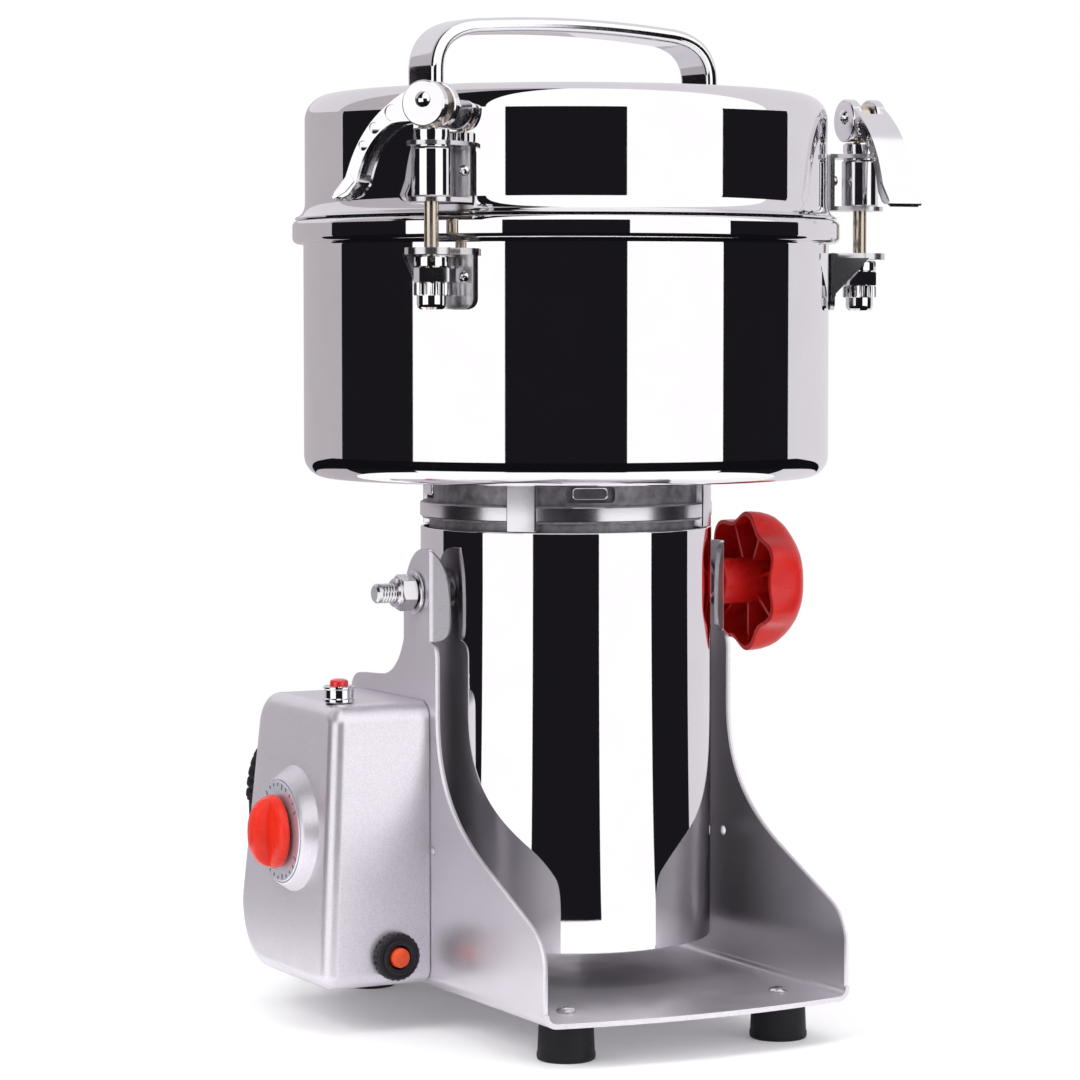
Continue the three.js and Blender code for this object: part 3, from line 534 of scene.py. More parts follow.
def make_studio():
    floor = bpy.data.materials.new("studio_floor")
    floor.use_nodes = True
    tree = floor.node_tree
    paint = feed(tree.nodes["Principled BSDF"], {"Base Color": (0.93, 0.93, 0.93, 1), "Roughness": 0.85})
    light = add_node(tree, "Emission", {"Strength": 1})
    place = add_node(tree, "TexCoord")
    length = add_node(tree, "VectorMath", {0: place.outputs["Object"]}, operation="LENGTH")
    inputs = {"Value": length.outputs["Value"], "From Min": 0.16, "From Max": 0.95, "To Min": 0.12}
    fade = add_node(tree, "MapRange", inputs, interpolation_type="SMOOTHSTEP")
    blend(tree, fade.outputs["Result"], paint.outputs["BSDF"], light.outputs["Emission"], "Material Output")
    rim = [ring_point(360 * i / 48, 30, 0) for i in range(48)]
    stage_object("floor", rim, [tuple(range(47, -1, -1))], floor)

    white = glow("panel_white", (1, 0.99, 1), 1.24)
    soft = glow("panel_soft", (0.93, 0.9, 0.945), 0.86)
    pink = glow("panel_grey", (0.8, 0.75, 0.79), 0.66)
    black = glow("panel_black", (0.6, 0.55, 0.7), 0.018)
    wall = [(0.33, 0.002), (2.6, 0.002), (2.6, 0.75)]
    roof = [(2.6, 0.75), (2.6, 2.6), (0.02, 2.6)]
    for name, start, end, material, section in (
        ("flag_front", -53.4, -2.3, black, wall), ("panel_right", -2.3, 42, white, wall),
        ("flag_right", 42, 82.5, black, wall), ("panel_far_right", 82.5, 152, soft, wall),
        ("panel_far_left", 152, 220, pink, wall), ("flag_left", 220, 264.3, black, wall),
        ("panel_left", 264.3, 306.6, white, wall), ("canopy_front", -62, 68, white, roof),
        ("canopy_back", 68, 216, soft, roof), ("canopy_far_left", 216, 256, pink, roof),
        ("canopy_left", 256, 298, black, roof),
    ):
        panel(name, start, end, material, section)
    low_flag()

    world = bpy.data.worlds.new("world")
    SCENE.world = world
    world.use_nodes = True
    tree = world.node_tree
    sky = feed(tree.nodes["Background"], {"Color": (0.97, 0.97, 1, 1), "Strength": 0.46})
    seen = add_node(tree, "Background", {"Color": (1, 1, 1, 1), "Strength": 1})
    path = add_node(tree, "LightPath")
    blend(tree, path.outputs["Is Camera Ray"], sky.outputs["Background"], seen.outputs["Background"], "World Output")

    for name, azimuth, distance, height, size, power in (
        ("key", -75, 1.9, 1.7, 1.3, 34), ("fill", 25, 2.2, 1.2, 1.6, 26),
        ("top", -30, 0.5, 2.3, 1.6, 22), ("rim", 160, 2, 1.5, 1.4, 24),
    ):
        data = bpy.data.lights.new(name, "AREA")
        data.size = size
        data.energy = power
        lamp = add_object(name, data)
        lamp.location = ring_point(azimuth, distance, height)
        aim = Vector((0, 0, 0.2)) - lamp.location
        lamp.rotation_euler = aim.to_track_quat("-Z", "Y").to_euler()
        lamp.visible_glossy = False
    SCENE.view_settings.view_transform = "Standard"
    SCENE.view_settings.look = "None"


make_studio()

# ---- cord
CORD_RADIUS = 3.5
CORD_EXIT = (-93.5, 70.4, 106.5)
RELIEF_STRAIGHT, RELIEF_BEND, RELIEF_SWEEP = 8, 28, radians(84)
CORD_ROUTE = [
    (-93.5, 106.6, 80.8), (-92.8, 107.4, 72), (-90.6, 108.2, 60), (-86.6, 109.4, 46),
    (-80.5, 112, 32), (-72.2, 116.3, 19.5), (-61.4, 121.4, 9.6), (-49.4, 124.8, 4.7),
    (-36, 125.2, 3.6), (-22.3, 123.2, 3.6),
]
COIL_CENTRE = (5, 168)
PLUG_AT = (3, 208.2)
SQUARENESS = 0.62                        # exponent of the plug's rounded-square section
TAIL_ROUTE = [(44.9, 190, 18.6), (38.5, 199.5, 22.5), (29.5, 206.2, 25.6), (18.4, 208.2, 26.8)]


def smooth_step(t):
    t = min(1, max(0, t))
    return t * t * (3 - 2 * t)


def spline(points, per_span=6):
    """A centripetal Catmull-Rom curve through the points."""
    path = [Vector(p) for p in points]
    path = [2 * path[0] - path[1], *path, 2 * path[-1] - path[-2]]
    made = []
    for a, b, c, d in zip(path, path[1:], path[2:], path[3:]):
        t1 = (b - a).length ** 0.5
        t2 = t1 + (c - b).length ** 0.5
        t3 = t2 + (d - c).length ** 0.5
        for k in range(per_span):
            t = t1 + (t2 - t1) * k / per_span
            ab, bc, cd = a.lerp(b, t / t1), b.lerp(c, (t - t1) / (t2 - t1)), c.lerp(d, (t - t2) / (t3 - t2))
            abc, bcd = ab.lerp(bc, t / t2), bc.lerp(cd, (t - t1) / (t3 - t1))
            made.append(abc.lerp(bcd, (t - t1) / (t2 - t1)))
    made.append(path[-2])
    return made


def coil_points():
    """Two layers wound inwards, then outwards, and a rise onto a third."""
    made = []
    turns, per_turn = 5.33, 36
    for i in range(1, int(turns * per_turn) + 1):
        t = i / per_turn
        if t <= 2:
            radius, height = 45 - 7 * t, 3.6
        elif t <= 3:
            s = t - 2
            radius = 31 - 4 * sin(pi * s)
            height = 3.6 + 7 * smooth_step(1.3 * s)
        elif t <= 5:
            radius, height = 31 + 7 * (t - 3), 10.6
        else:
            s = t - 5
            radius = 45 + 0.6 * min(1, s / 0.1)
            height = 10.6 + 8 * smooth_step(s / 0.33)
        angle = radians(-90 + 360 * t)
        made.append(Vector((COIL_CENTRE[0] + radius * cos(angle),
                            COIL_CENTRE[1] + radius * sin(angle), height)))
    return made


def make_cord():
    run = spline(CORD_ROUTE)
    lead = [run[-1].lerp(Vector((COIL_CENTRE[0], COIL_CENTRE[1] - 45, 3.6)), k / 4) for k in (1, 2, 3, 4)]
    path = run + lead + coil_points() + spline(TAIL_ROUTE)[1:]
    data = bpy.data.curves.new("mains_cord", "CURVE")
    data.dimensions = "3D"
    data.bevel_depth = CORD_RADIUS * MM
    data.bevel_resolution = 5
    data.use_fill_caps = True
    line = data.splines.new("POLY")
    line.points.add(len(path) - 1)
    for point, place in zip(line.points, path):
        point.co = (*(place * MM), 1)
    line.use_smooth = True
    cord = add_object("mains_cord", data)
    data.materials.append(CORD)
    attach(cord, "stand")
    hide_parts("cord_run", "cord_coil", "cord_tail")
    length = sum((b - a).length for a, b in zip(path, path[1:])) * MM
    return cord, length


def bend_relief(side, rise, along):
    """Where a point of the straight relief goes once the relief is bent down."""
    turn = max(0, along - RELIEF_STRAIGHT) / RELIEF_BEND
    reach = min(along, RELIEF_STRAIGHT) + RELIEF_BEND * sin(turn)
    drop = RELIEF_BEND * (1 - cos(turn))
    return (CORD_EXIT[0] + side, CORD_EXIT[1] + 0.3 + reach + rise * sin(turn),
            CORD_EXIT[2] - drop + rise * cos(turn))


def make_relief():
    length = RELIEF_STRAIGHT + RELIEF_BEND * RELIEF_SWEEP
    ribs = 9
    profile = [(0, -5.5), (4.6, -5.5), (4.7, 0), (7.4, 0), (7.9, 0.5), (7.9, 2.4), (7.2, 3), (5.6, 3)]
    pitch = (length - 4.5) / ribs
    for i in range(ribs):
        at = 3.4 + pitch * i
        radius = 6.3 - 1.7 * i / ribs
        profile += [(radius - 1.15, at + pitch * 0.05), (radius - 1.15, at + pitch * 0.3),
                    (radius - 0.25, at + pitch * 0.36), (radius, at + pitch * 0.46),
                    (radius, at + pitch * 0.86), (radius - 0.25, at + pitch * 0.96)]
    profile += [(4.1, length - 0.9), (4.3, length - 0.5), (4.1, length), (0, length)]
    body = remap(lathe(profile, 32), bend_relief)
    finish(body, "cord_strain_relief", "stand", RUBBER, "black_rubber", "strain_relief", smooth=50)


def make_plug():
    """A plain two-pin plug lying on the coil, with a short bend relief."""
    at_z = 26.8
    squared = [[copysign(abs(w) ** SQUARENESS, w) for w in point] for point in polar(40, lambda a: 1)]
    rings = [[(x, half_y * c, at_z + half_z * t) for c, t in squared] for x, half_y, half_z in (
        (-29.5, 9.6, 9.6), (-28.8, 10.4, 11), (-27, 10.8, 11.6), (-20, 10.9, 11.8), (-12, 10.6, 11.6),
        (-6, 9.6, 10.2), (-2, 8.2, 8.2), (0, 6.6, 6.4), (0.6, 5.2, 5.2),
    )]
    body = loft(rings)
    neck = [(0, -1), (5, -1)]
    for i in range(4):
        at = 0.8 + 3 * i
        radius = 5.2 - 0.25 * i
        neck += [(radius - 0.8, at), (radius - 0.8, at + 0.9), (radius, at + 1.2), (radius, at + 2.7)]
    neck += [(4.2, 13.4), (4.2, 14), (0, 14)]
    body = join(body, lathe(neck, 32, "X", (0, 0, at_z)))
    finish(shift(body, *PLUG_AT), "plug_body", "stand", BLACK, "black_plastic", "mains_plug", smooth=40)
    profile = [(0, -48.8), (1.6, -48.6), (2.3, -47.4), (2.4, -46), (2.4, -29), (0, -29)]
    pins = merge(*[lathe(profile, 28, "X", (0, y, at_z)) for y in (-6.5, 6.5)])
    finish(shift(pins, *PLUG_AT), "plug_pins", "stand", CHROME, "brushed_steel")


def make_tie():
    inner = rounded([(23.9, -5, 0), (23.9, 14.6, 0.4), (49.1, 14.6, 0.4), (49.1, -5, 0)])
    outer = rounded([(23, -4, 0), (23, 15.5, 1.5), (50, 15.5, 1.5), (50, -4, 0)])
    band = cut(prism(outer, -2.6, 2.6, "XZ"), prism(inner, -4, 4, "XZ"), block(15, 60, -6, 6, -8, 0.05))
    head = block(49.4, 51.6, -3.6, 3.6, 5.2, 10.4)
    band = turn_z(soften(join(band, head), 0.35, angle=35), 150)
    finish(shift(band, *COIL_CENTRE), "coil_tie", "stand", BLACK, "black_plastic", "cord_tie")


cord, cord_length = make_cord()
make_relief()
make_plug()
make_tie()

# ---- stand
SHEET = 2
FOOT_HEIGHT = 16.5
ARM_OUTER = 68.5
PIVOT_Z = 176.5


def make_yoke():
    """The bent sheet: a U section, trimmed to the arms' profile and the plan."""
    out, low, top, bend = ARM_OUTER, FOOT_HEIGHT, 200, 5
    section = [(-out, top), *arc(-out + bend, low + bend, bend, 180, 270, 8),
               *arc(out - bend, low + bend, bend, 270, 360, 8), (out, top), (out - SHEET, top),
               *arc(out - bend, low + bend, bend - SHEET, 360, 270, 8),
               *arc(-out + bend, low + bend, bend - SHEET, 270, 180, 8), (-out + SHEET, top)]
    profile = [
        (-125, 0), (-125, 22), (-111, 22), *curve((-111, 40), (-110, 50), (-99, 55), steps=10),
        *curve((-62, 71.5), (-36, 83), (-17.5, 98), (-17.5, 128), steps=24),
        *curve((-17.5, 150), (-17.5, 156), (-12, 157), steps=6),
        (-12, 194.4), *curve((-7, 194.5), (4, 194.5), (12, 184), (12, 170), steps=20),
        *curve((12, 157), (18, 141.5), (34, 140.5), steps=12),
        *curve((54, 139.5), (63.5, 139), (64, 130), steps=10),
        *curve((64, 80), (64, 69), (74, 66.5), steps=10),
        *curve((99, 55), (110, 50), (111, 40), steps=10), (111, 22), (125, 22), (125, 0),
    ]
    plan = [*curve((-80, -109), (0, -130), (80, -109), steps=36), *curve((80, 109), (0, 130), (-80, 109), steps=36)]
    sheet = common(prism(section, -125, 125, "XZ"), prism(profile, -80, 80, "YZ"), prism(plan, 0, 210))
    holes = [rod(2, -80, 80, "X", (0, y, 72.9), 24) for y in (-15.5, 55.5)]
    sheet = cut(sheet, rod(4.4, -80, 80, "X", (0, 0, PIVOT_Z), 40), *holes)
    soften(sheet, 0.45)
    finish(sheet, "yoke_sheet", "stand", YOKE_PAINT, "silver_paint", "yoke_frame", smooth=30)


def make_wings():
    """Ear stiffeners folded 45 degrees inwards at the ears' front edges."""
    outline = [(-0.2, 157.2), *curve((0, 157), (6.2, 157.2), (8.6, 158.6), (8.8, 165), steps=8)[1:],
               *curve((8.8, 165), (9.1, 178), (8.2, 189), (0, 194.3), steps=16)[1:-1], (-0.2, 194.2)]
    for side in ("left", "right"):
        strip = soften(prism(outline, -SHEET, 0, "YZ"), 0.3)
        turn_z(strip, 45)
        move(strip, Matrix.Scale(-1, 4, Vector((0, 1, 0))))
        shift(strip, ARM_OUTER, -12, 0)
        if side == "left":
            move(strip, Matrix.Scale(-1, 4, Vector((1, 0, 0))))
        else:
            strip.data.flip_normals()
        finish(strip, f"ear_wing_{side}", "stand", YOKE_PAINT, "silver_paint")


def make_feet():
    profile = [(2.2, 6), (5, 6), (5, 0.6), (5.6, 0), (10.7, 0), (11.3, 0.4), (11.5, 1.2), (11.5, 2.6),
               (11.2, 3.4), (10.7, 15), (10.2, 16.1), (2.2, 16.1)]
    head = [(0, 18.6), (3.9, 18.6), (3.9, 19.1), (3.3, 19.8), (1.9, 20.2), (0, 20.3)]
    for end, y in (("front", -91), ("rear", 91)):
        for side, x in (("left", -48), ("right", 48)):
            foot = lathe(profile, 72, at=(x, y, 0))
            corner = f"{end}_{side}"
            finish(foot, f"rubber_foot_{corner}", "stand", RUBBER, "black_rubber", f"foot_{corner}", smooth=45)
            screw = lathe(head, 40, at=(x, y, 0))
            for angle in (0, 90):
                slot = turn_z(block(-2, 2, -0.35, 0.35, 19.5, 21), angle + 30)
                screw = cut(screw, shift(slot, x, y))
            finish(screw, f"foot_screw_{corner}", "stand", ZINC, "brushed_steel")


make_yoke()
make_wings()
make_feet()

# ---- switch box
GAP = 0.3
BOX_FRONT, BOX_TOP, BOX_BOTTOM, BOX_DEPTH = -12.5, 133, 18.5, 46.5
BOX_REAR_TOP, BOX_REAR_BOTTOM = 64.5, 82
TIMER = (24, 79.5)
TIMER_FACE = -118.7
LEAN = 0.1                               # how much shallower the box is at its top
BREAKER = (-84.5, 31.2)
POWER = (-102.5, 1)


def box_loft(inset, start, edge, steps):
    def ring(extra, depth):
        shrink = inset + extra
        outline = rounded([
            (BOX_FRONT + shrink, BOX_BOTTOM + shrink, 6.6 - shrink * 0.9),
            (BOX_FRONT + shrink, BOX_TOP - shrink, 7.6 - shrink * 0.9),
            (BOX_REAR_TOP - shrink, BOX_TOP - shrink, 15 - shrink),
            (BOX_REAR_BOTTOM - shrink, BOX_BOTTOM + shrink, 27 - shrink),
        ], 10)
        span = BOX_TOP - BOX_BOTTOM
        return [(-ARM_OUTER - GAP - depth * (1 - LEAN * (z - BOX_BOTTOM) / span), y, z) for y, z in outline]

    depth = BOX_DEPTH - inset
    rings = [ring(0, start)]
    for k in range(steps + 1):
        angle = pi / 2 * k / steps
        rings.append(ring(edge * (1 - cos(angle)), depth - edge + edge * sin(angle)))
    return loft(rings)


def make_box():
    shell = box_loft(0, 0, 6, 8)
    boss = lathe([(0, 0), (26.4, 0), (25.6, 0.9), (24.9, 2), (22.6, 5.6), (21.8, 6.6), (21.2, 7), (20.9, 6.9),
                  (20.9, 6.2), (0, 6.2)], 120, "-X", (TIMER_FACE + 7, *TIMER))
    shell = join(shell, boss)
    shell = cut(shell, box_loft(1.5, -5, 4.5, 6))
    shell = cut(shell, rod(4.6, -130, -100, "X", (0, *TIMER), 32),
                rod(6.3, -20, 0, "Y", (BREAKER[0], 0, BREAKER[1]), 32),
                rod(5.2, 120, 140, at=(*POWER, 0), segments=32),
                rod(5.3, 50, 85, "Y", (CORD_EXIT[0], 0, CORD_EXIT[2]), 32))
    finish(shell, "switch_box_shell", "stand", SILVER, "silver_paint", "switch_box", smooth=32)


def make_timer():
    y, z = TIMER
    plate = lathe(disc(4.6, 20.6, 0, 1, 0.4, 0.3), 120, "-X", (TIMER_FACE + 0.6, y, z))
    finish(plate, "timer_dial_plate", "stand", DIAL, "silver_paint", "timer_dial")
    marks = []
    for i in range(25):
        tick = block(-0.35, 0.35, 18.3 if i % 4 else 17.4, 19.6, 0, 0.12)
        turn_z(tick, 150 - 12.5 * i)
        move(tick, Matrix.Rotation(radians(-90), 4, "Y"))
        marks.append(shift(tick, TIMER_FACE - 0.42, y, z))
    finish(merge(*marks), "timer_dial_marks", "stand", INK, "black_plastic")
    back = TIMER_FACE - 1.7
    base = lathe([(3.2, 0), (14.4, 0), (14.9, 0.4), (15, 1.2), (14.9, 2.2), (14.2, 3.4), (13, 4.3), (10, 5),
                  (3.2, 5.4)], 96, "-X", (back, y, z))
    rings = []
    for k in range(13):
        t = -1 + 2 * k / 12
        v = 13.9 * sin(t * pi / 2)
        crown = 2.6 + 8.6 * (max(0, 1 - (abs(v) / 14.1) ** 2.4)) ** 0.5
        half = 4.6 - 1.1 * (abs(v) / 13.9) ** 2
        side = [(half + 1.2, 0), (half, crown * 0.45), (half - 0.5, crown - 1.6), (half - 1.4, crown - 0.4),
                (1.2, crown)]
        rings.append([(back - 0.4 - max(0, w), y + u, z + v) for u, w in [(-u, w) for u, w in side] + side[::-1]])
    knob = soften(join(base, loft(rings)), 0.5)
    finish(knob, "timer_hand_knob", "timer", ORANGE_RED, "red_plastic", "timer_knob", smooth=50)


def make_power_button():
    x, y = POWER
    bezel = lathe([(4.1, 133.5), (4.9, 133.3), (5.9, 133.3), (6.3, 133.7), (6.3, 134.7), (5.9, 135.2), (5.9, 138.5),
                   (6.3, 139), (6.3, 139.6), (5.9, 140), (4.9, 140), (4.1, 139.2)], 72, at=(x, y, 0))
    finish(bezel, "power_bezel_ring", "stand", CHROME, "chrome", "power_bezel")
    neck = lathe([(0, 110), (4.8, 110), (4.8, 133.2), (4, 133.2), (4, 133.9), (0, 133.9)], 32, at=(x, y, 0))
    finish(neck, "power_bezel_neck", "stand", BLACK, "black_plastic")
    button = lathe([(0, 136.2), (3.7, 136.2), (3.7, 141.6), (3.3, 142.3), (2.2, 142.7), (0, 142.8)], 48, at=(x, y, 0))
    finish(button, "power_lens", "power_switch", LENS, "red_lens", "power_button")


def make_breaker():
    x, z = BREAKER
    flutes = 24
    outline = polar(flutes * 4, lambda a: 9.75 - 0.28 * (1 - cos(flutes * a)), (x, z))
    nut = prism(outline, -16.9, BOX_FRONT - GAP, "XZ")
    nut = common(nut, lathe([(0, -18), (8.6, -17), (9.9, -15.7), (9.9, -12), (0, -12)], 72, "Y", (x, 0, z)))
    collar = lathe([(4.8, -17.6), (5.3, -18), (6.6, -18), (7, -17.6), (7, -16.2), (4.8, -16.2)], 64, "Y", (x, 0, z))
    nut = join(nut, collar, rod(5.8, -14, -10, "Y", (x, 0, z), 40), rod(8, -10.6, 18, "Y", (x, 0, z), 48, 0.6))
    nut = cut(nut, rod(4.8, -20, -7.5, "Y", (x, 0, z), 48))
    finish(nut, "breaker_knurled_nut", "stand", BLACK, "black_plastic", "breaker_body", smooth=40)
    button = lathe([(0, -19.9), (2.2, -19.8), (3.5, -19.3), (4, -18.5), (4.05, -10.8), (0, -10.8)], 56, "Y",
                   (x, 0, z))
    finish(button, "breaker_reset_button", "breaker_reset", ORANGE, "orange_plastic", "breaker_button", smooth=45)


make_box()
make_timer()
make_power_button()
make_breaker()

# ---- tilt trunnions


def hex_nut(flats, low, high, bore, axis="Z", at=(0, 0, 0), turn=0):
    """A hexagon nut with chamfered corners and a bore."""
    radius = flats / 2 / cos(pi / 6)
    corners = [radians(60 * i + turn) for i in range(6)]
    body = prism([(radius * cos(a), radius * sin(a)) for a in corners], low, high)
    inset, cone = radius - flats / 2 + 0.1, (radius - flats / 2) * 0.62
    body = common(body, lathe(disc(0, radius, low, high, inset, cone), 72))
    body = cut(body, rod(bore, low - 1, high + 1, segments=40))
    remap(body, lambda *v: [a + b for a, b in zip(orient(v, axis), at)])
    if axis == "-X":
        body.data.flip_normals()
    return body


def threaded(radius, low, high, pitch, axis="Z", at=(0, 0, 0), tip=0.8):
    """A stud with thread ridges; the high end is chamfered."""
    profile = [(0, low), (radius, low)]
    height = low
    while height + pitch < high - tip:
        profile += [(radius, height + pitch * 0.12), (radius - pitch * 0.42, height + pitch * 0.5),
                    (radius, height + pitch * 0.88)]
        height += pitch
    profile += [(radius, high - tip), (radius - tip, high), (0, high)]
    return lathe(profile, 40, axis, at)


def make_pivots():
    at = (0, 0, PIVOT_Z)
    profile = [(0, 60.3), (9.2, 60.3), (10, 61), (10, 65.6), (9.4, 66.2), (4, 66.2), (4, 70), (0, 70)]
    for side, axis, reach in (("left", "-X", 87.3), ("right", "X", 94)):
        boss = join(lathe(profile, 64, axis, at), threaded(4, 69, reach, 1.25, axis, at))
        finish(boss, f"trunnion_stud_{side}", "mill", ZINC, "brushed_steel", f"trunnion_{side}", smooth=40)
    washer = disc(4.3, 8.6, 68.8, 70.4, 0.4, 0.4)
    finish(lathe(washer, 64, "-X", at), "pivot_plain_washer", "mill", ZINC, "chrome", "pivot_washer")
    nut = hex_nut(13, 70.7, 77.2, 4.25, "-X", at, 12)
    cap = lathe([(4.25, 77), (6.1, 77), (6.1, 78.1), (5.5, 78.9), (4.25, 78.9)], 48, "-X", at)
    finish(join(nut, cap), "pivot_hex_nut", "mill", ZINC, "chrome", "pivot_nut")
    finish(lathe(washer, 64, "X", at), "clamp_plain_washer", "clamp_thrust", ZINC, "chrome", "clamp_washer")


def lobed(*sections):
    """A loft through seven-lobed rings given as (x, radius, depth of the lobes)."""
    return loft([[(x, u, v) for u, v in polar(168, lambda a: radius + wave * cos(7 * a), (0, PIVOT_Z))]
                 for x, radius, wave in sections])


def make_clamp_knob():
    """A hollow seven-lobed handwheel, open towards the arm, with inner ribs."""
    outer = lobed(
        (83, 27.2, 2.3), (83.4, 27.7, 2.3), (86, 27.9, 2.1), (90, 27.9, 1.7), (94, 27.6, 1), (96.5, 27, 0.55),
        (98.8, 25.6, 0.3), (100.8, 23.2, 0.15), (102.2, 19.4, 0.05), (103, 14.8, 0), (103.4, 9, 0), (103.5, 4, 0))
    inner = lobed(
        (80, 25.9, 2.2), (84, 25.9, 2.2), (90, 25.9, 1.6), (94, 25, 0.9), (97, 22.6, 0.4), (98.6, 19, 0.1),
        (99.5, 8, 0))
    room = copy_of(outer)
    ribs = []
    for i in range(7):
        rib = block(87.5, 101, -0.7, 0.7, 8, 29)
        move(rib, Matrix.Rotation(radians(360 / 7 * (i + 0.5)), 4, "X"))
        ribs.append(shift(rib, 0, 0, PIVOT_Z))
    ribs = common(join(*ribs), room)
    hub = rod(9.7, 70.8, 100.5, "X", (0, 0, PIVOT_Z), 64, 0.5)
    wheel = join(cut(outer, inner), ribs, hub)
    wheel = cut(wheel, rod(4.3, 60, 95.5, "X", (0, 0, PIVOT_Z), 40))
    soften(wheel, 0.45, 2, 42)
    finish(wheel, "clamp_handwheel", "clamp", RED, "red_plastic", "clamp_knob", smooth=46)


make_pivots()
make_clamp_knob()

# ---- motor
CHAMBER_TURN = 7.2
POCKET_ANGLES = (-18, 72, 162, 252)


def make_tube():
    profile = [(58.8, 33.9), (59.1, 33.5), (59.7, 33.5), (60, 33.9), (60, 201.4), (59.7, 201.9), (59.2, 202),
               (58.8, 201.6)]
    finish(lathe(profile, 192), "motor_tube_shell", "mill", STEEL, "polished_steel", "motor_tube", smooth=40)


def make_bracket():
    """Cast neck between the motor tube and the bowl."""
    core = lathe([
        (8, 221.7), (8, 203.8), (16.3, 203.8), (16.3, 192.2), (20.4, 192.2), (21.5, 205.5), (50, 205.5), (50, 187.4),
        (56.4, 187.4), (56.4, 205.5), (59, 205.5), (59.5, 206.1), (59.5, 211.9), (59, 212.5), (57.3, 212.5),
        (57.3, 221.2), (56.8, 221.7)], 144)
    for angle in POCKET_ANGLES:
        pocket = prism(rounded_box(10, 213.8, 220.2, 2), -66, -54.2, "XZ")
        core = cut(core, turn_z(pocket, angle))
    soften(core, 0.45)
    finish(core, "motor_neck_casting", "mill", CASTING, "cast_aluminium", "motor_bracket", smooth=38)
    band = lathe([(59.7, 206.3), (60.2, 206.6), (60.2, 211.8), (59.7, 212.1)], 144)
    finish(band, "motor_neck_band", "mill", TURNED, "cast_aluminium")
    legs = []
    for angle in (45, 135, 225, 315):
        leg = common(block(-6.4, 6.4, -70, -55.6, 202.3, 221.8), rod(60.6, 200, 225, segments=144))
        legs.append(turn_z(soften(leg, 0.5), angle))
    for angle in POCKET_ANGLES:
        boss = prism(rounded_box(7.5, 214.6, 220.2, 2.2), -57.2, -54, "XZ")
        legs.append(turn_z(soften(boss, 1, 3), angle))
    finish(merge(*legs), "motor_neck_bosses", "mill", TURNED, "cast_aluminium", smooth=40)


def make_end_cap():
    cap = lathe([(4, 33.9), (30, 33.9), (30, 34.6), (56, 34.6), (57.6, 34), (58.1, 34.6), (58.1, 46), (55.8, 46),
                 (55.8, 37), (17.5, 37), (17.5, 46.8), (13.3, 46.8), (13.3, 37), (4, 37)], 120)
    for i in range(8):
        for inner, outer, width in ((26, 36, 6.4), (39, 50, 8)):
            slot = prism(rounded_box(width / 2, inner, outer, 2.6), 30, 40)
            cap = cut(cap, turn_z(slot, 45 * i + 22.5))
    soften(cap, 0.3)
    finish(cap, "motor_end_cover", "mill", BLACK, "black_plastic", "motor_end_cap")
    head = [(0, 33.6), (2.6, 33.6), (3.1, 34), (3.1, 34.7), (0, 34.7)]
    quarters = [radians(90 * i) for i in range(4)]
    screws = [lathe(head, 32, at=(53.2 * cos(a), 53.2 * sin(a), 0)) for a in quarters]
    finish(merge(*screws), "end_cover_screws", "mill", ZINC, "brushed_steel")


make_tube()
make_bracket()
make_end_cap()

# ---- chamber
BOWL_RADIUS, BOWL_BOTTOM, RIM_TOP = 107.8, 222.3, 327
LID_RADIUS, LID_TOP = 107.1, 377.8


def make_bowl():
    outer = arc(BOWL_RADIUS - 9, BOWL_BOTTOM + 9, 9, -90, 0, 20)
    inner = arc(BOWL_RADIUS - 9.3, BOWL_BOTTOM + 9, 7.7, 0, -90, 12)
    profile = [
        (9, BOWL_BOTTOM), (60, BOWL_BOTTOM), *outer, *[(BOWL_RADIUS, z) for z in (231.7, 270, 316.2, 316.9)],
        (108.1, 317.4), (109.6, 317.6), *arc(109.9, 320, 2.4, -90, 0, 6), *arc(109.9, 324.6, 2.4, 0, 90, 6),
        (BOWL_RADIUS - 0.9, RIM_TOP), (BOWL_RADIUS - 1.3, RIM_TOP - 0.4), (BOWL_RADIUS - 1.3, 300), *inner,
        (60, BOWL_BOTTOM + 1.3), (9, BOWL_BOTTOM + 1.3)]
    finish(lathe(profile, 240), "bowl_shell", "mill", STEEL, "polished_steel", "bowl", smooth=40)
    seal = lathe([(6.4, 222.7), (8.6, 222.7), (8.6, 223.9), (19.4, 223.9), (20, 224.3), (20, 225.2), (15, 227.2),
                  (7.2, 227.4), (6.4, 226.8)], 72)
    finish(seal, "shaft_seal_ring", "mill", RUBBER, "black_rubber", "shaft_seal")


def make_lid():
    outer = arc(LID_RADIUS - 10, LID_TOP - 10, 10, 90, 0, 14)
    inner = arc(LID_RADIUS - 10, LID_TOP - 10, 8.7, 0, 90, 12)
    profile = [
        (0, LID_TOP), (50, LID_TOP), *outer, *[(LID_RADIUS, z) for z in (367.2, 350, 334.9)],
        *curve((LID_RADIUS, 334.2), (107.3, 329.4), (111, 328.2), steps=8),
        (111.3, 327.8), (111, 327.3), (105.9, 327.3), (105.8, 328.4), (105.8, 350), *inner, (50, LID_TOP - 1.3),
        (0, LID_TOP - 1.3)]
    finish(lathe(profile, 240), "lid_shell", "cover", STEEL, "polished_steel", "lid", smooth=40)
    ring = lathe([(102.2, 322.3), (103, 321.5), (104.2, 321.5), (105.2, 322.6), (105.2, 333.4), (104.6, 334),
                  (102.8, 334), (102.2, 333.4)], 144)
    finish(ring, "lid_seal_ring", "cover", SILICONE, "white_silicone", "seal_ring", smooth=50)


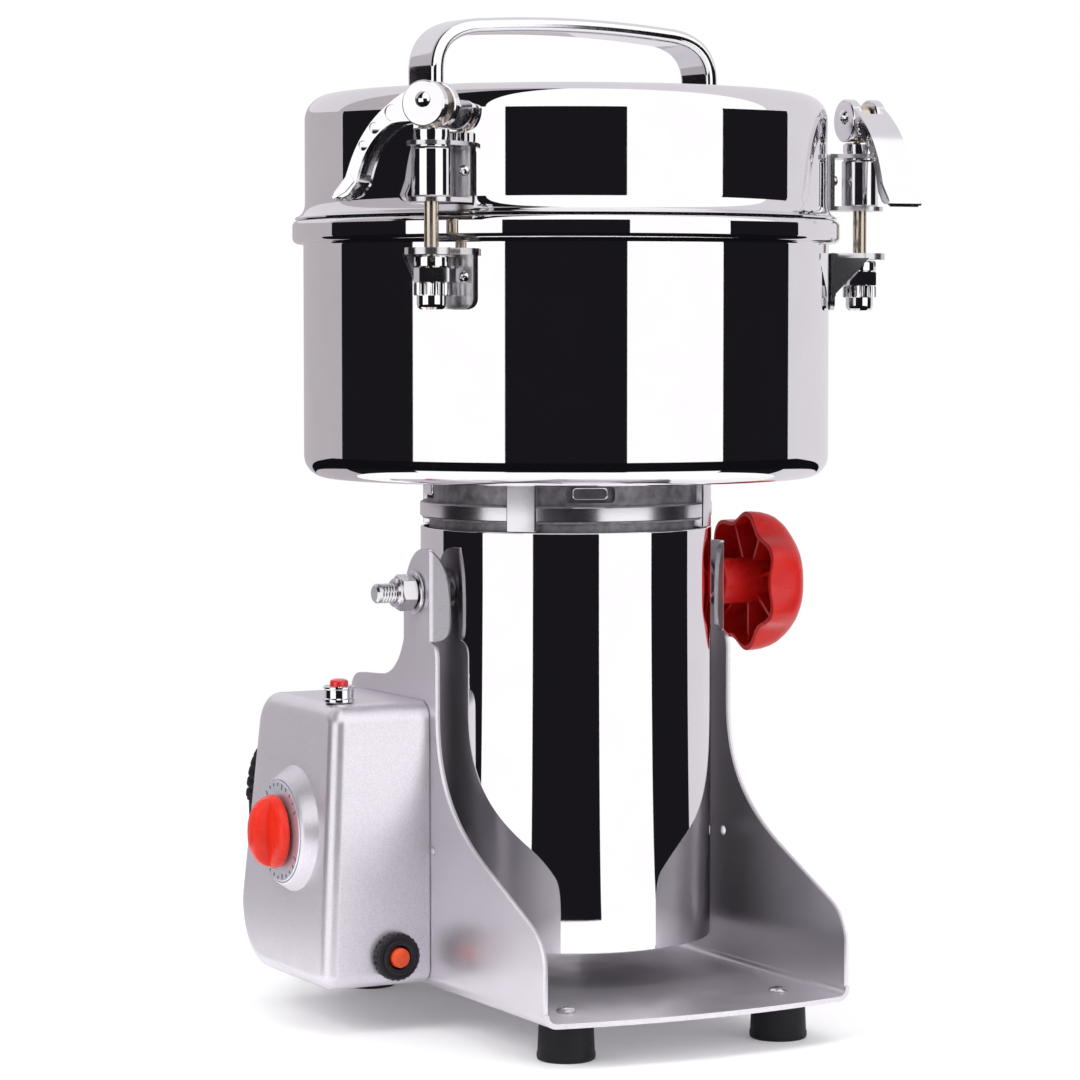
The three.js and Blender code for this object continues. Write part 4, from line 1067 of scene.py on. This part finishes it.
def make_handle():
    """Chromed flat bar bent to a low arch, 20 mm wide and 6 mm thick."""
    half, thick = 68.5, 3
    side = curve((-half, 386), (-half, 403.6), (-45, 404.5), steps=16)
    top = curve((-45, 404.5), (0, 408), (45, 404.5), steps=24)
    line = [(-half, LID_TOP + GAP), *side, *top[1:], *[(-x, z) for x, z in reversed(side[:-1])],
            (half, LID_TOP + GAP)]
    section = rounded([(-10, -thick, 2.2), (10, -thick, 2.2), (10, thick, 2.6), (-10, thick, 2.6)], 6)
    rings = []
    for i, (x, z) in enumerate(line):
        before = Vector(line[max(0, i - 1)])
        after = Vector(line[min(len(line) - 1, i + 1)])
        ahead = (after - before).normalized()
        if i in (0, len(line) - 1):
            ahead = Vector((0, 1 if i == 0 else -1))
        out = Vector((-ahead.y, ahead.x))
        rings.append([(x + out.x * t, w, z + out.y * t) for w, t in section])
    finish(turn_z(loft(rings), CHAMBER_TURN), "carrying_handle", "cover", CHROME, "chrome", "handle", smooth=50)
    for end, x in (("left", -half), ("right", half)):
        pad = lathe([(0, 0.02), (7.4, 0.02), (7.8, 0.12), (7.4, 0.26), (0, 0.26)], 48, at=(x, 0, LID_TOP))
        finish(turn_z(pad, CHAMBER_TURN), f"handle_washer_{end}", "cover", ZINC, "brushed_steel")


make_bowl()
make_lid()
make_handle()

# ---- latches
ROD_OFFSET = 122
PLATE_BACK = -108.1
PIN_Z = 369.9
LEVER_TURNS = (3, 19, 3)                 # how far each lever is swung out from the lid, degrees
LATCH_ANGLES = [angle + CHAMBER_TURN for angle in (-60, 60, 180)]


def nose(radius, wide):
    """Bracket flange outline: square at the wall, round about the rod."""
    return [(-wide, PLATE_BACK), (-wide, PLATE_BACK - 3.4), *arc(0, -ROD_OFFSET, radius, 176, 364, 24),
            (wide, PLATE_BACK - 3.4), (wide, PLATE_BACK)]


def screw_head(x, z, radius=2.7, height=1.6):
    head = lathe([(0, 0), (radius, 0), (radius, height * 0.35), (radius * 0.78, height * 0.8),
                  (radius * 0.4, height), (0, height)], 32)
    for angle in (20, 110):
        head = cut(head, turn_z(block(-radius * 0.62, radius * 0.62, -0.3, 0.3, height * 0.55, height + 1), angle))
    move(head, Matrix.Rotation(radians(90), 4, "X"))
    return shift(head, x, PLATE_BACK - 1.75, z)


def latch_bracket():
    back = prism(rounded_box(10.5, 331.4, 354.5, 0.8), PLATE_BACK - 1.7, PLATE_BACK, "XZ")
    shelf = prism(nose(9.5, 10.5), 331.4, 333.2)
    ceiling = prism(nose(9.5, 10.5), 352.9, 354.6)
    bracket = join(back, shelf, ceiling)
    bracket = cut(bracket, rod(6.95, 345, 360, at=(0, -ROD_OFFSET, 0), segments=48),
                  rod(3.2, 325, 340, at=(0, -ROD_OFFSET, 0), segments=32))
    return soften(bracket, 0.35)


def latch_sleeve():
    return lathe([(3.1, 333.4), (7.1, 333.4), (7.55, 333.9), (7.55, 351.4), (7.2, 352), (6.8, 352.4), (6.8, 355.6),
                  (7, 356),
                  (7, 358.7), (6.5, 359.3), (3.1, 359.3)], 96, at=(0, -ROD_OFFSET, 0))


def latch_lower():
    back = prism(rounded_box(11.8, 290.6, 314, 4, 0.6), PLATE_BACK - 1.8, PLATE_BACK, "XZ")
    shelf = prism(nose(10.4, 11.8), 311.4, 314)
    gusset = prism([(PLATE_BACK, 295), (PLATE_BACK, 312), (PLATE_BACK - 16, 312)], -11.8, -10.3, "YZ")
    bracket = join(back, shelf, gusset)
    bracket = cut(bracket, block(0, 20, -ROD_OFFSET - 3.3, -ROD_OFFSET + 3.3, 300, 320),
                  rod(3.3, 300, 320, at=(0, -ROD_OFFSET, 0), segments=32))
    return soften(bracket, 0.35)


def latch_bolt():
    eye = rod(5, -2.6, 2.6, "Y", (0, 0, PIN_Z), 48, 0.4)
    shank = rod(2.8, 310, PIN_Z - 3.4, segments=32)
    thread = threaded(2.8, -310.2, -291.6, 1, tip=0.6)
    move(thread, Matrix.Rotation(pi, 4, "X"))
    body = join(eye, shank)
    body = cut(body, rod(2.85, -5, 5, "Y", (0, 0, PIN_Z), 32))
    return body, thread


def adjusting_nut():
    ridges = 18
    knurl = polar(ridges * 6, lambda a: 6.35 + 0.55 * (1 - abs(sin(ridges * a / 2)) ** 3))
    body = prism(knurl, 295.8, 300.8)
    body = common(body, lathe([(0, 295.6), (6.2, 295.6), (7, 296.3), (7, 300.2), (6.3, 300.9), (0, 300.9)], 72))
    collar = rod(6.8, 306.4, 310.9, segments=72, edge=0.6)
    for angle in (0, 60, 120):
        collar = cut(collar, turn_z(block(-8, 8, -0.8, 0.8, 308.6, 312), angle))
    foot = lathe([(0, 290.5), (4.3, 290.5), (5.3, 291.3), (5.6, 292.6), (5.6, 296.2), (0, 296.2)], 64)
    body = join(body, collar, foot, hex_nut(12, 300.5, 306.7, 2, turn=15))
    return cut(body, rod(3.05, 280, 320, segments=32))


def latch_lever():
    """Cam cheeks on the pin and a channel grip that curves down to a lip."""
    outer = [*curve((-1.5, PIN_Z + 5.6), (-8.5, PIN_Z + 3.6), (-14.5, PIN_Z - 1.2), steps=8),
             *curve((-14.5, PIN_Z - 1.2), (-26.5, PIN_Z - 10), (-31.6, PIN_Z - 25.5), steps=16)[1:],
             (-32.8, PIN_Z - 28.8), (-37.6, PIN_Z - 34.6), (-38.2, PIN_Z - 36.2)]
    inner = [*curve((-2, PIN_Z - 8.4), (-8.4, PIN_Z - 7.6), (-13.4, PIN_Z - 8.8), steps=8),
             *curve((-13.4, PIN_Z - 8.8), (-23.2, PIN_Z - 13.6), (-27.2, PIN_Z - 27), steps=16)[1:],
             (-28.4, PIN_Z - 31.4), (-31.6, PIN_Z - 35.6), (-34, PIN_Z - 36.6)]
    under = [(x + 1.1, z - 1.5) for x, z in outer[6:]]
    rails = [prism([*outer, *inner[::-1]], side * 6.1 - 1.05, side * 6.1 + 1.05, "XZ") for side in (-1, 1)]
    web = prism([*outer[6:], *under[::-1]], -6.6, 6.6, "XZ")
    lever = join(web, *rails)
    lip = prism([(-30.6, PIN_Z - 27.6), (-38.4, PIN_Z - 36.4), (-37.6, PIN_Z - 37.2), (-32.6, PIN_Z - 34.4),
                 (-29, PIN_Z - 30.6)], -7.6, 7.6, "XZ")
    lever = join(lever, lip)
    for x, z, radius in ((-13.2, -4.7, 3.1), (-20.6, -10.4, 2.2), (-25.4, -17, 1.9)):
        for side in (-1, 1):
            lever = cut(lever, rod(radius, side * 7.6 - 1.1, side * 7.6 + 1.1, "Y", (x, 0, PIN_Z + z), 32))
    cheeks = []
    for middle in (-5.5, 5.5):
        profile = disc(0, 8.8, middle - 2.3, middle + 2.3, 0.5, 0.5)
        cheeks.append(lathe(profile, 72, "Y", (0, 0, PIN_Z - 1.4)))
    lever = join(lever, *cheeks)
    lever = cut(lever, block(-11, 12, -3.2, 3.2, PIN_Z - 20, PIN_Z + 20))
    soften(lever, 0.35, 2, 42)
    pin = lathe([(0, -9.5), (1.4, -9.4), (2.4, -8.9), (3, -8.2), (3, -7.9), (2.5, -7.8), (2.5, 7.8), (3, 7.9),
                 (3, 8.2),
                 (2.4, 8.9), (1.4, 9.4), (0, 9.5)], 40, "Y", (0, 0, PIN_Z))
    return lever, pin


def make_latches():
    bracket, sleeve, lower = latch_bracket(), latch_sleeve(), latch_lower()
    body, thread = latch_bolt()
    nut = adjusting_nut()
    lever, pin = latch_lever()
    swivelling = (body, lever, pin)
    for piece in (thread, nut):
        shift(piece, 0, -ROD_OFFSET, 0)
    screws = merge(screw_head(8, 343.6, 2.1, 1.5), screw_head(-8, 343.6, 2.1, 1.5))
    rivets = merge(screw_head(7.8, 303, 2, 1.1), screw_head(-7.2, 297.5, 2, 1.1))
    parts = [
        (bracket, "latch_guide_{}", "cover", ZINC, "chrome", "upper_bracket_{}"),
        (sleeve, "latch_sleeve_{}", "cover", CHROME, "chrome", None),
        (screws, "latch_guide_screws_{}", "cover", CHROME, "chrome", None),
        (lower, "latch_keeper_{}", "mill", ZINC, "brushed_steel", "lower_bracket_{}"),
        (rivets, "latch_keeper_rivets_{}", "mill", CHROME, "chrome", None),
        (body, "latch_bolt_{}", "rod_{}", BRASSY, "brushed_steel", "latch_rod_{}"),
        (thread, "latch_bolt_thread_{}", "rod_{}", BRASSY, "brushed_steel", None),
        (nut, "latch_nut_{}", "nut_{}", CHROME, "chrome", "adjusting_nut_{}"),
        (lever, "latch_cam_lever_{}", "lever_{}", DIECAST, "chrome", "latch_lever_{}"),
        (pin, "latch_pin_{}", "lever_{}", CHROME, "chrome", None),
    ]
    for side, angle, swivel in zip(SIDES, LATCH_ANGLES, LEVER_TURNS):
        for piece, name, on, material, slot, node in parts:
            twin = copy_of(piece)
            if piece in swivelling:
                shift(turn_z(twin, swivel), 0, -ROD_OFFSET, 0)
            turn_z(twin, angle)
            nodes = (node.format(side),) if node else ()
            finish(twin, name.format(side), on.format(side), material, slot, *nodes, smooth=38)
    for piece, *_ in parts:
        bpy.data.objects.remove(piece)


make_latches()

# ---- inside


def blade(reach, width, z, rise, thick=2.4):
    """A flat two-winged blade whose ground tips may bend upwards."""
    flat = reach * 0.62
    bend = [(-reach, z + rise), (-reach, z + rise + thick), *curve((-flat - 2, z + thick), (-flat + 2, z + thick),
                                                                   steps=2),
            (flat, z + thick), (reach, z + rise + thick), (reach, z + rise), (flat, z), (-flat, z)]
    half = [(-reach, -width * 0.28, 3), (-20, -width / 2, 8), (20, -width / 2, 8), (reach, -width * 0.28, 3)]
    plan = rounded(half + [(-u, -v, radius) for u, v, radius in half])
    made = common(prism(bend, -40, 40, "XZ"), prism(plan, z - 40, z + 60))
    return soften(made, 0.5, 2, 30)


def make_rotor():
    lower = join(blade(96, 30, 229.6, 0), rod(11, 231, 245.4, segments=56, edge=0.6))
    lower = cut(turn_z(lower, 20), rod(5.25, 220, 270, segments=40))
    finish(lower, "lower_grinding_blade", "rotor", BLADE, "polished_steel", "lower_blade")
    upper = cut(turn_z(blade(78, 28, 245.8, 14), -55), rod(5.25, 220, 270, segments=40))
    finish(upper, "upper_grinding_blade", "rotor", BLADE, "polished_steel", "upper_blade")
    nut = hex_nut(16, 248.7, 257.6, 5.25, turn=8)
    dome = lathe([(0, 255.4), (6.6, 255.4), (6.6, 258), (5.6, 259.2), (3, 259.9), (0, 260)], 56)
    finish(join(nut, dome), "blade_cap_nut", "rotor", CHROME, "chrome", "blade_nut")


make_rotor()

KEPT = {
    "timer_mechanism": MACHINED, "stator": WINDING, "armature": WINDING, "bearing_upper": MACHINED,
    "bearing_lower": MACHINED, "carbon_brush_front": CARBON, "carbon_brush_rear": CARBON,
    "rotor_shaft": MACHINED, "cooling_fan": BLACK,
}
for node, material in KEPT.items():
    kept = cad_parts[node]
    kept.data.materials.clear()
    kept.data.materials.append(material)
